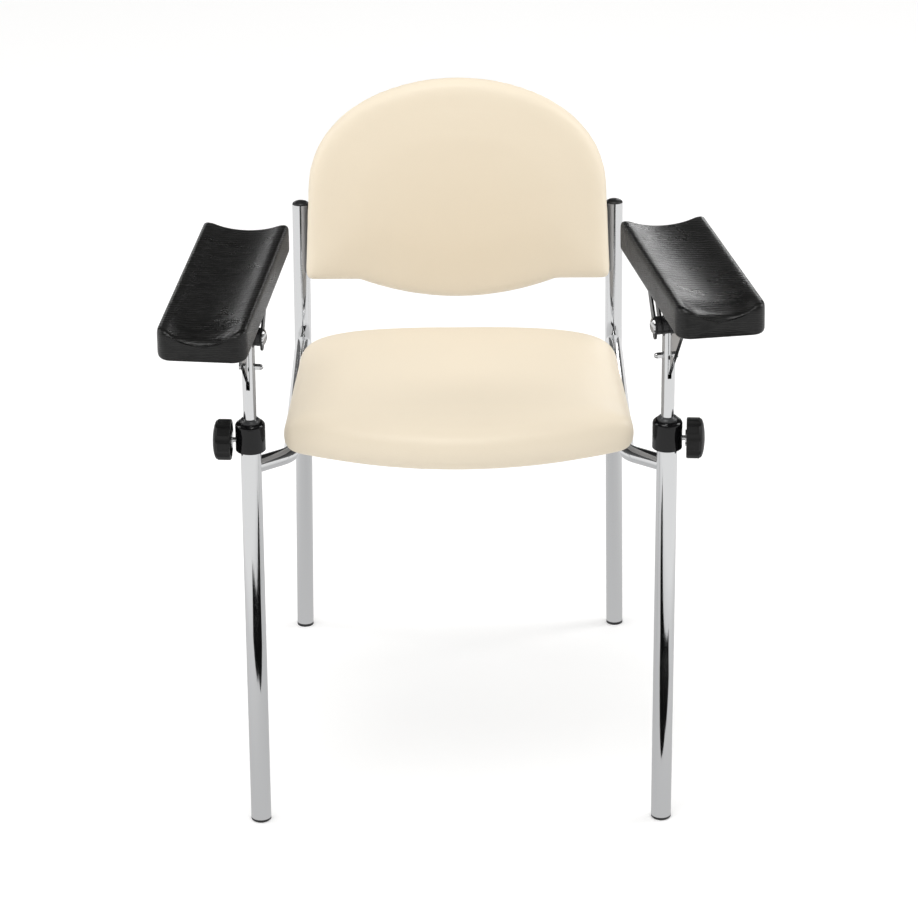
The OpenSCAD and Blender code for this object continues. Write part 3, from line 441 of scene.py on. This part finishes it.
g, gi, go = node_group("mould_texture", {"Scale": 1800.0}, ["Height"])
co = add(g, "ShaderNodeTexCoord")
spark = add(g, "ShaderNodeTexNoise", in_Detail=2.0, in_Roughness=0.7)
g.links.new(co.outputs["Object"], spark.inputs["Vector"])
g.links.new(gi.outputs["Scale"], spark.inputs["Scale"])
g.links.new(spark.outputs["Fac"], go.inputs["Height"])
MOULD_TEXTURE = ready(g)

# %% [markdown]
# ### Dust on upward faces
# A little pale dust settles where a surface faces up. The group compares the surface normal
# with the vertical, breaks the result with noise, and puts out a mask for the base colour.

# %% Dust group
g, gi, go = node_group("settled_dust", {"Amount": 0.08, "Scale": 30.0}, ["Mask"])
geo = add(g, "ShaderNodeNewGeometry")
up = add(g, "ShaderNodeSeparateXYZ")
g.links.new(geo.outputs["Normal"], up.inputs[0])
facing = add(g, "ShaderNodeMapRange", in_From_Min=0.35, in_From_Max=1.0)
g.links.new(up.outputs["Z"], facing.inputs["Value"])
co = add(g, "ShaderNodeTexCoord")
specks = add(g, "ShaderNodeTexNoise", in_Detail=6.0, in_Roughness=0.7)
g.links.new(co.outputs["Object"], specks.inputs["Vector"])
g.links.new(gi.outputs["Scale"], specks.inputs["Scale"])
both = add(g, "ShaderNodeMath", operation="MULTIPLY")
g.links.new(facing.outputs["Result"], both.inputs[0])
g.links.new(specks.outputs["Fac"], both.inputs[1])
amount = add(g, "ShaderNodeMath", operation="MULTIPLY")
g.links.new(both.outputs[0], amount.inputs[0])
g.links.new(gi.outputs["Amount"], amount.inputs[1])
g.links.new(amount.outputs[0], go.inputs["Mask"])
SETTLED_DUST = ready(g)

# %% [markdown]
# ## Finishes, one for each of the record's slots
# A Principled shader holds the constant values of a finish. The groups above are placed in
# the material and feed its roughness, its bump or its base colour, so the helpers below take
# a material and the values that make its surface its own.

# %% Material helpers
DUST = (0.5, 0.48, 0.45)
FINISH = {}


def new_material(name, colour, **principled):
    """A Principled finish for one of the record's slots, with its constant sockets."""
    m = bpy.data.materials.new(name + "_finish")
    FINISH[name] = m
    m.use_nodes = True
    shader = shader_of(m)
    shader.inputs["Base Color"].default_value = (*colour, 1)
    for key, value in principled.items():
        shader.inputs[key.replace("_", " ")].default_value = value
    return m


def use_group(tree, group, **values):
    """A shared group placed in a material, with its own values."""
    n = tree.nodes.new("ShaderNodeGroup")
    n.node_tree = group
    for key, value in values.items():
        n.inputs[key].default_value = value
    return n


def link_smudge(material, low, high, scale):
    """Roughness wanders between two values."""
    s = use_group(material.node_tree, SMUDGE, Low=low, High=high, Scale=scale)
    material.node_tree.links.new(s.outputs["Roughness"], shader_of(material).inputs["Roughness"])


def link_bump(material, height, strength, distance):
    """A height becomes a bump, its distance in metres."""
    b = material.node_tree.nodes.new("ShaderNodeBump")
    b.inputs["Strength"].default_value = strength
    b.inputs["Distance"].default_value = distance
    material.node_tree.links.new(height, b.inputs["Height"])
    material.node_tree.links.new(b.outputs["Normal"], shader_of(material).inputs["Normal"])


def colour_mix(material, factor, towards):
    """A mix whose A is set by the caller, and goes towards a colour by a linked factor."""
    mix = material.node_tree.nodes.new("ShaderNodeMix")
    mix.data_type = "RGBA"
    mix.inputs["B"].default_value = (*towards, 1)
    material.node_tree.links.new(factor, mix.inputs["Factor"])
    return mix


def link_dust(material, colour, amount):
    """Base colour goes a little towards dust where the dust mask says so."""
    d = use_group(material.node_tree, SETTLED_DUST, Amount=amount)
    mix = colour_mix(material, d.outputs["Mask"], DUST)
    mix.inputs["A"].default_value = (*colour, 1)
    material.node_tree.links.new(mix.outputs["Result"], shader_of(material).inputs["Base Color"])


def plain_finish(name, colour, smudge, texture=None, **principled):
    """A finish with smudges (low, high, scale) and a texture (scale, strength, distance)."""
    material = new_material(name, colour, **principled)
    link_smudge(material, *smudge)
    if texture:
        scale, strength, distance = texture
        relief = use_group(material.node_tree, MOULD_TEXTURE, Scale=scale)
        link_bump(material, relief.outputs["Height"], strength, distance)
    return material


# %% [markdown]
# ## Chrome
# The tubes are bright nickel-chrome plate: a metal with almost no colour, very smooth, with a
# trace of waviness from polishing. Bolts and screws are a little duller. A Principled shader
# with full Metallic does it, and the smudge group keeps the reflections from being perfect.

# %% Chrome materials
plain_finish("chrome_tube", (0.86, 0.865, 0.87), (0.045, 0.11, 14.0), (38.0, 0.03, 0.0006),
             Metallic=1.0)
plain_finish("bright_hardware", (0.80, 0.80, 0.80), (0.10, 0.22, 60.0), (900.0, 0.04, 0.0003),
             Metallic=1.0)
print("chrome finishes:", sorted(FINISH))

# %% [markdown]
# ## Cream vinyl
# The seat and back are covered in a wipe-clean coated cloth: cream, satin, with a fine pebble
# grain that only shows close up. The grain drives a low bump, and its creases are painted a trace
# darker as painted shade. A broad cloud of noise keeps the shine from being even. The picture's
# chrome was toned to a clean grey, so reflections see the vinyl as grey instead of cream.

# %% Cream vinyl
# The second colour is painted shade for the creases of the grain.
VINYL, VINYL_CREASE_SHADE = (0.900, 0.795, 0.628), (0.80, 0.685, 0.525)
VINYL_REFLECTED = (0.34, 0.33, 0.32)
cream_vinyl = new_material("cream_vinyl", VINYL, Sheen_Weight=0.08, Specular_IOR_Level=0.42)
tree = cream_vinyl.node_tree
grain = use_group(tree, LEATHER_GRAIN, Scale=720.0, Crease=0.09, Wander=0.5)
link_bump(cream_vinyl, grain.outputs["Height"], 0.10, 0.0005)
link_smudge(cream_vinyl, 0.40, 0.50, 7.0)
# The grain's creases are painted a trace darker: painted shade in them.
soft = add(tree, "ShaderNodeMath", operation="MULTIPLY", in_1=0.16)
tree.links.new(grain.outputs["Crease mask"], soft.inputs[0])
crease_shade_tone = colour_mix(cream_vinyl, soft.outputs[0], VINYL_CREASE_SHADE)
crease_shade_tone.inputs["A"].default_value = (*VINYL, 1)
path = add(tree, "ShaderNodeLightPath")
seen = colour_mix(cream_vinyl, path.outputs["Is Glossy Ray"], VINYL_REFLECTED)
tree.links.new(crease_shade_tone.outputs["Result"], seen.inputs["A"])
tree.links.new(seen.outputs["Result"], shader_of(cream_vinyl).inputs["Base Color"])
print("cream vinyl:", len(tree.nodes), "nodes")

# %% [markdown]
# ## Black foam skin
# The arm pads are moulded foam with its own skin, black with a crinkle grain and a soft shine
# along the rounded edges. The crinkle group breaks that shine into short streaks, and the tops of
# the crinkles are painted a little lighter than the creases between them, a painted highlight for
# the light they catch.

# %% Black foam
# The second colour is a painted highlight for the tops of the crinkles.
FOAM, FOAM_CRINKLE_HIGHLIGHT = (0.005, 0.005, 0.0048), (0.016, 0.016, 0.0155)
black_foam = new_material("black_foam", FOAM, Specular_IOR_Level=0.40)
tree = black_foam.node_tree
grain = use_group(tree, CRINKLE_GRAIN, Rows=50.0, Across=55.0, Along=150.0, Fine=0.2)
link_bump(black_foam, grain.outputs["Height"], 0.48, 0.0005)
link_smudge(black_foam, 0.25, 0.33, 11.0)
# The crinkle tops are painted lighter: a painted highlight for the light they catch.
crinkle_highlight = add(tree, "ShaderNodeMapRange", interpolation_type="SMOOTHSTEP", in_From_Min=0.25,
           in_From_Max=0.90)
tree.links.new(grain.outputs["Height"], crinkle_highlight.inputs["Value"])
crinkle_highlight_tone = colour_mix(black_foam, crinkle_highlight.outputs["Result"], FOAM_CRINKLE_HIGHLIGHT)
crinkle_highlight_tone.inputs["A"].default_value = (*FOAM, 1)
tree.links.new(crinkle_highlight_tone.outputs["Result"], shader_of(black_foam).inputs["Base Color"])
print("black foam:", len(tree.nodes), "nodes")

# %% [markdown]
# ## Black plastics, painted steel and nylon
# The collar is gloss black, the knobs, the back shell and the seat board have a fine moulded
# texture, the caps and glides are satin, and the tilting bracket is painted steel. Each is a
# dark Principled shader with its own roughness and bump, so that they part from each other
# in the light. The shell and the board carry a trace of dust.

# %% Black plastics and paint
SHELL_BLACK = (0.022, 0.022, 0.023)
plain_finish("gloss_collar", (0.004, 0.004, 0.0045), (0.10, 0.18, 40.0), (260.0, 0.05, 0.0004),
             Coat_Weight=0.25, Coat_Roughness=0.05, Specular_IOR_Level=0.30)
plain_finish("black_plastic", (0.02, 0.02, 0.021), (0.30, 0.42, 30.0), (1500.0, 0.08, 0.0003))
shell = plain_finish("shell_plastic", SHELL_BLACK, (0.46, 0.58, 12.0), (1100.0, 0.3, 0.0005))
link_dust(shell, SHELL_BLACK, 0.04)
plain_finish("knob_plastic", (0.012, 0.012, 0.012), (0.42, 0.56, 45.0), (1600.0, 0.28, 0.0004),
             Specular_IOR_Level=0.35)
plain_finish("nylon", (0.045, 0.046, 0.048), (0.28, 0.40, 50.0))
plain_finish("black_metal", (0.014, 0.014, 0.015), (0.30, 0.42, 60.0), (700.0, 0.15, 0.0003),
             Coat_Weight=0.25, Coat_Roughness=0.2)
print("finishes:", sorted(FINISH))

# %% [markdown]
# ## Dress the CAD nodes
# Most hard parts are right as the CAD made them, so they keep their mesh and only get a
# better finish. The record says which material slot each node belongs to.

# %% Dress the CAD nodes
for part in frame["record"]["subparts"]:
    finish = FINISH[part["material_slot"]]
    mesh = nodes[part["node"]].data
    mesh.materials.clear()
    mesh.materials.append(finish)

# %% [markdown]
# ## Making a closed skin
# Cushions and pads are all rings of points joined into a closed skin. One helper builds the
# mesh from rings, closes both ends, and shades it smooth. Each ring is drawn as one half and
# mirrored, because the real pieces are the same on both sides.

# %% Skin helper
def skin(name, rings, place, finish):
    """A closed mesh over rings of equal length, each end closed by a fan to its middle."""
    n = len(rings[0])
    points = [Vector(p) for ring in rings for p in ring]
    for ring in (rings[0], rings[-1]):
        points.append(sum((Vector(p) for p in ring), Vector()) / n)
    faces = []
    for j in range(len(rings) - 1):
        for i in range(n):
            k = (i + 1) % n
            faces.append((j * n + i, j * n + k, (j + 1) * n + k, (j + 1) * n + i))
    last = (len(rings) - 1) * n
    for i in range(n):
        k = (i + 1) % n
        faces.append((len(points) - 2, k, i))
        faces.append((len(points) - 1, last + i, last + k))
    mesh = bpy.data.meshes.new(name)
    mesh.from_pydata([place @ p for p in points], [], faces)
    bm = bmesh.new()
    bm.from_mesh(mesh)
    bmesh.ops.recalc_face_normals(bm, faces=bm.faces)
    bm.to_mesh(mesh)
    bm.free()
    mesh.shade_smooth()
    piece = bpy.data.objects.new(name, mesh)
    piece.data.materials.append(finish)
    scene.collection.objects.link(piece)
    return piece


def mirrored(half):
    """The closed loop of a half whose first and last points lie on the middle line."""
    return half + [(-x, y) for x, y in reversed(half[1:-1])]


def resampled(loop, count):
    """The closed loop with its points set evenly along it."""
    pts = [Vector(p) for p in loop]
    steps = [(pts[(i + 1) % len(pts)] - pts[i]).length for i in range(len(pts))]
    total, out, i, walked = sum(steps), [], 0, 0.0
    for k in range(count):
        target = total * k / count
        while walked + steps[i] < target:
            walked += steps[i]
            i += 1
        t = (target - walked) / max(steps[i], 1e-9)
        out.append(pts[i].lerp(pts[(i + 1) % len(pts)], t))
    return out


def at_height(loop, z):
    """A plan's loop as a ring at one height."""
    return [(p[0], p[1], z) for p in loop]


print("skin helpers ready; the frame has", len(nodes), "nodes to set them against")


# %% [markdown]
# ## Puffing up a cushion
# Real upholstery is foam under a stretched skin: it bulges between the edges that hold it.
# Cloth with inner pressure does this well. The mesh is remeshed evenly, the underside is
# pinned where it sits on its board, and the skin swells for twenty frames. The stretched
# cover of the photograph has no wrinkles, so the swelling is evened out over neighbouring
# points and held under a cap. The result is applied, so nothing is simulated later.

# %% Cloth puff helper
VOXEL = 0.005                      # mesh size of the cover
PRESSURE, FRAMES = 3.0, 20         # of the swelling
SWELL_CAP, EVENED = 0.005, 40      # the most it may swell, and rounds of evening out


def held_below(place, start, fade):
    """Pinning that is whole up to a height over the board and gone a little above it."""
    base, up = place.translation, place.to_3x3() @ Vector((0, 0, 1))

    def weight(p):
        return max(0.0, min(1.0, 1.0 - ((p - base).dot(up) - start) / fade))

    return weight


def puff(piece, pinned):
    """Swells a piece with the cloth solver and keeps the result, without its wrinkles."""
    bpy.ops.object.select_all(action="DESELECT")
    bpy.context.view_layer.objects.active = piece
    piece.select_set(True)
    piece.data.remesh_voxel_size = VOXEL
    bpy.ops.object.voxel_remesh()
    rest = [v.co.copy() for v in piece.data.vertices]
    group = piece.vertex_groups.new(name="held")
    for v in piece.data.vertices:
        group.add([v.index], pinned(v.co), "REPLACE")
    cloth = piece.modifiers.new("cloth", "CLOTH")
    s = cloth.settings
    s.quality, s.mass = 6, 0.25
    s.tension_stiffness = s.compression_stiffness = s.shear_stiffness = 18
    s.bending_stiffness = 1.2
    s.use_pressure, s.uniform_pressure_force = True, PRESSURE
    s.effector_weights.gravity = 0
    s.vertex_group_mass = "held"
    cloth.point_cache.frame_start, cloth.point_cache.frame_end = 1, FRAMES
    for f in range(1, FRAMES + 1):
        scene.frame_set(f)
    shaped = piece.evaluated_get(bpy.context.evaluated_depsgraph_get())
    moved = [v.co.copy() for v in shaped.data.vertices]
    piece.modifiers.remove(cloth)
    scene.frame_set(1)
    steps = [b - a for a, b in zip(rest, moved)]
    near = [[] for _ in steps]
    for e in piece.data.edges:
        i, j = e.vertices
        near[i].append(j)
        near[j].append(i)
    for _ in range(EVENED):
        steps = [(d + sum((steps[j] for j in near[i]), Vector())) / (1 + len(near[i]))
                 for i, d in enumerate(steps)]
    most = max(d.length for d in steps)
    share = min(1.0, SWELL_CAP / most)
    for v, a, d in zip(piece.data.vertices, rest, steps):
        v.co = a + d * share
    piece.data.shade_smooth()
    print(piece.name, "swelled by up to", round(most * share * 1000, 1), "mm")


def refine(piece):
    """One level of subdivision, in the view and in the render."""
    fine = piece.modifiers.new("fine", "SUBSURF")
    fine.levels = fine.render_levels = 1


print("cover cloth:", VOXEL * 1000, "mm mesh,", FRAMES, "frames, at most",
      SWELL_CAP * 1000, "mm of swelling")


# %% [markdown]
# ## Seat cushion
# The seat is a waterfall cushion: its front bows out and rolls over, its rear corners are
# round, and the cover is pulled under to the board. It is built from the plan's outline,
# drawn in ring by ring up the side and over the crown.

# %% Seat cushion
PLAN_POINTS = 180                          # in each cushion's ring
SEAT_W, SEAT_REAR_W = 0.422 / 2, 0.402 / 2
SEAT_OVER, SEAT_REACH, SEAT_CORNER = 0.076, 0.363, 0.115
SEAT_H, SEAT_CROWN, BOARD_T, BOARD_IN = 0.045, 0.006, 0.010, 0.018
SEAT_DRAWN_IN = 0.071                      # how far the crown's rings are drawn in
SEAT_BOW, FRONT_CORNER, BOW_SLOPE = 0.065, 0.024, math.radians(33)
BOW_HALF = SEAT_W - FRONT_CORNER * (1 - math.sin(BOW_SLOPE))
# The side and the crown as shares: how far each ring is drawn in, and how high it lies.
SEAT_EDGE = ((1.0, 0.0), (0.72, 0.004), (0.45, 0.03), (0.22, 0.11), (0.07, 0.24), (0.0, 0.40),
             (0.0, 0.50), (0.05, 0.64), (0.17, 0.77), (0.38, 0.88), (0.68, 0.955), (1.05, 1.0))
SEAT_TOP = ((0.38, 0.40), (0.55, 0.68), (0.75, 0.88), (1.2, 0.98))


def seat_plan(inset):
    """The seat's outline drawn in: a bowed front, small front corners, round rear ones."""
    half = []
    for k in range(41):
        x = (BOW_HALF - inset) * k / 40
        half.append((x, inset - SEAT_OVER + SEAT_BOW * (x / BOW_HALF) ** 2))
    corner_y = half[-1][1]
    for k in range(1, 13):
        t = BOW_SLOPE + (math.pi / 2 - BOW_SLOPE) * k / 12
        half.append((SEAT_W - inset - FRONT_CORNER * (1 - math.sin(t)),
                     corner_y + FRONT_CORNER * (math.cos(BOW_SLOPE) - math.cos(t))))
    for k in range(61):
        t = math.pi / 2 * k / 60
        half.append(((SEAT_REAR_W - inset) * max(math.cos(t), 0) ** (2 / 3),
                     SEAT_REACH - SEAT_CORNER + (SEAT_CORNER - inset) * math.sin(t) ** (2 / 3)))
    return resampled([(x, y, 0) for x, y in mirrored(half)], PLAN_POINTS)


rings = [at_height(seat_plan(BOARD_IN), BOARD_T)]
rings += [at_height(seat_plan(q * BOARD_IN), h * SEAT_H) for q, h in SEAT_EDGE]
rings += [at_height(seat_plan(q * SEAT_DRAWN_IN), SEAT_H + h * SEAT_CROWN) for q, h in SEAT_TOP]
seat = skin("seat_vinyl", rings, seat_place(), cream_vinyl)
puff(seat, held_below(seat_place(), start=0.012, fade=0.010))
refine(seat)
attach(seat, "frame")
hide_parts("seat_cushion")
print("seat cushion:", len(rings), "rings,", len(seat.data.polygons), "faces")

# %% [markdown]
# ## Back cushion
# The back is flat at the rear, crowned at the front, with a high round top and a shallow
# tongue at the middle of its lower edge. Its rear edge is full, so that no line of the shell
# behind it shows over the top. The same ring method serves, in the frame of the uprights.

# %% Back cushion
BACK_W, BACK_TOP_W = 0.393 / 2, 0.384 / 2
BACK_LOW, BACK_SIDE, BACK_TOP, TONGUE, TONGUE_W = 0.067, 0.111, 0.155, 0.024, 0.127
DOME_POWER = 2.3
BACK_T, BACK_CROWN, BACK_Z, CORNER = 0.033, 0.006, 0.003, 0.008
BACK_EDGE_IN, BACK_DRAWN_IN = 0.012, 0.095
# The edge and the crown as shares: how far each ring is drawn in, and how far forward.
BACK_EDGE = ((0.8, 0.0), (0.62, 0.03), (0.50, 0.10), (0.42, 0.23), (0.10, 0.32), (-0.06, 0.40),
             (-0.06, 0.50), (0.0, 0.62), (0.12, 0.73), (0.32, 0.84), (0.60, 0.92), (1.0, 0.975))
BACK_FACE = ((0.2, 0.12), (0.34, 0.34), (0.52, 0.6), (0.75, 0.84))


def back_plan(inset):
    """The back's outline drawn in: a tongue below, short straight sides, a round top."""
    half = []
    for k in range(31):
        x = TONGUE_W * k / 30
        half.append((x * (1 - inset / BACK_W),
                     BACK_LOW + inset - TONGUE * (1 - (k / 30) ** 2)))
    w = BACK_W - inset
    for k in range(9):
        t = math.pi / 2 * k / 8
        half.append((w - CORNER + CORNER * math.sin(t),
                     BACK_LOW + inset + CORNER - CORNER * math.cos(t)))
    for k in range(61):
        t = math.pi / 2 * k / 60
        half.append(((BACK_TOP_W - inset) * math.cos(t),
                     BACK_LOW + BACK_SIDE + (BACK_TOP - inset) * math.sin(t) ** (2 / DOME_POWER)))
    return resampled([(x, y, 0) for x, y in mirrored(half)], PLAN_POINTS)


rings = [at_height(back_plan(q * BACK_EDGE_IN), BACK_Z + h * BACK_T) for q, h in BACK_EDGE]
rings += [at_height(back_plan(q * BACK_DRAWN_IN), BACK_Z + BACK_T + h * BACK_CROWN)
          for q, h in BACK_FACE]
back = skin("back_vinyl", rings, back_place(), cream_vinyl)
puff(back, held_below(back_place(), start=0.012, fade=0.008))
refine(back)
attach(back, "frame")
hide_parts("back_cushion")
print("back cushion:", len(rings), "rings,", len(back.data.polygons), "faces")

# %% [markdown]
# ## Arm pads
# Each pad is a moulded gutter of skinned foam: a trough along it for the forearm, with rounded
# ridges on both sides. It is open at the rear, and at the front it falls away over a rolled
# lip. A section with fine steps is drawn at each place along the pad, because the gutter
# deepens towards the lip, and the last sections shrink into the rounded ends.

# %% Arm pads
PAD_L, PAD_W, PAD_H, PAD_FWD, PAD_OUT, PAD_LIFT = 0.340, 0.105, 0.037, 0.015, 0.024, 0.045
PAD_REAR, PAD_FRONT = -(PAD_L / 2 - PAD_FWD), PAD_L / 2 + PAD_FWD
GUTTER, RIDGE, GUTTER_STEPS = 0.0082, 0.85, 18   # depth, its edge's share of the half width
LIP_FALL, FALL_START, FALL_BOW, FALL_LENGTH = 0.0035, 0.052, 0.012, 0.040
REAR_ROUND = 0.0025                              # the small rounding of the rear end
LIP_ROUND, LIP_NARROW = 0.018, 0.014             # the lip's length, and how much it narrows
LIP_RISE, LIP_DROP, LIP_CURVE = 0.001, 0.009, 1.4   # from below, from above, and its bend
COARSE_RINGS, COARSE_GAP = 17, 0.0155
FINE_START, FINE_RINGS, FINE_GAP = 0.068, 12, 0.0041
# Half the outside, from the middle of the underside to the ridge: shares of width and height.
PAD_OUTSIDE = ((0, 0), (0.42, 0), (0.70, 0), (0.88, 0.0), (0.93, 0.008), (0.962, 0.026),
               (0.981, 0.056), (0.993, 0.095), (0.999, 0.15), (1.0, 0.22), (1.0, 0.40),
               (1.0, 0.62), (0.999, 0.74), (0.998, 0.82), (0.992, 0.885), (0.981, 0.935),
               (0.965, 0.967), (0.942, 0.989), (0.915, 1.002), (0.885, 1.005), (RIDGE, 1.0))


def smooth(q):
    """A soft step from 0 to 1."""
    q = max(0.0, min(1.0, q))
    return q * q * (3 - 2 * q)


def gutter_depth(q, along):
    """How deep the gutter lies at a share q of its half width, at a place along the pad."""
    across = (1 - q * q) * (1 - q ** 8)
    fall = smooth((along - (PAD_FRONT - FALL_START - FALL_BOW * q * q)) / FALL_LENGTH)
    return GUTTER * across + LIP_FALL * fall * (1 - q ** 4) * (1 - q ** 8)


def pad_section(along):
    """Half a section as lengths, from the middle of the underside round to the gutter."""
    half = [(x * PAD_W / 2, z * PAD_H) for x, z in PAD_OUTSIDE]
    for k in range(GUTTER_STEPS - 1, -1, -1):
        q = k / GUTTER_STEPS
        half.append((q * RIDGE * PAD_W / 2, PAD_H - gutter_depth(q, along)))
    return half


def pad_ring(along, across=0, low=0, high=0):
    """A whole section at a place along the pad, shrunk from its sides, bottom and top."""
    return [(x * (1 - across * 2 / PAD_W), -along, low + z * (PAD_H - low - high) / PAD_H)
            for x, z in mirrored(pad_section(along))]


def pad_rings():
    """All sections: the rear rounding, the length in coarse and fine steps, the front lip."""
    rings = []
    for a in range(0, 91, 18):
        t = math.radians(a)
        edge = REAR_ROUND * (1 - math.sin(t))
        rings.append(pad_ring(PAD_REAR + REAR_ROUND * (1 - math.cos(t)), edge, edge, edge))
    for k in range(1, COARSE_RINGS + 1):
        rings.append(pad_ring(PAD_REAR + REAR_ROUND + k * COARSE_GAP))
    for k in range(1, FINE_RINGS + 1):
        rings.append(pad_ring(PAD_FRONT - FINE_START + k * FINE_GAP))
    for a in range(6, 87, 8):
        t = math.radians(a)
        turned = 1 - math.cos(t)
        rings.append(pad_ring(PAD_FRONT - LIP_ROUND * (1 - math.sin(t)), LIP_NARROW * turned,
                              LIP_RISE * turned, LIP_DROP * turned ** LIP_CURVE))
    return rings


def arm_pad(name, side):
    """One pad in place on its bracket, riding with it."""
    place = arm_place(name, side) @ Matrix.Translation((PAD_OUT, 0, PAD_LIFT))
    piece = skin("arm_pad_" + name, pad_rings(), place, black_foam)
    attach(piece, "pad_" + name)
    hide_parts("pad_" + name)
    return piece


for name, side in SIDES:
    pad = arm_pad(name, side)
    print(pad.name, len(pad.data.polygons), "faces")
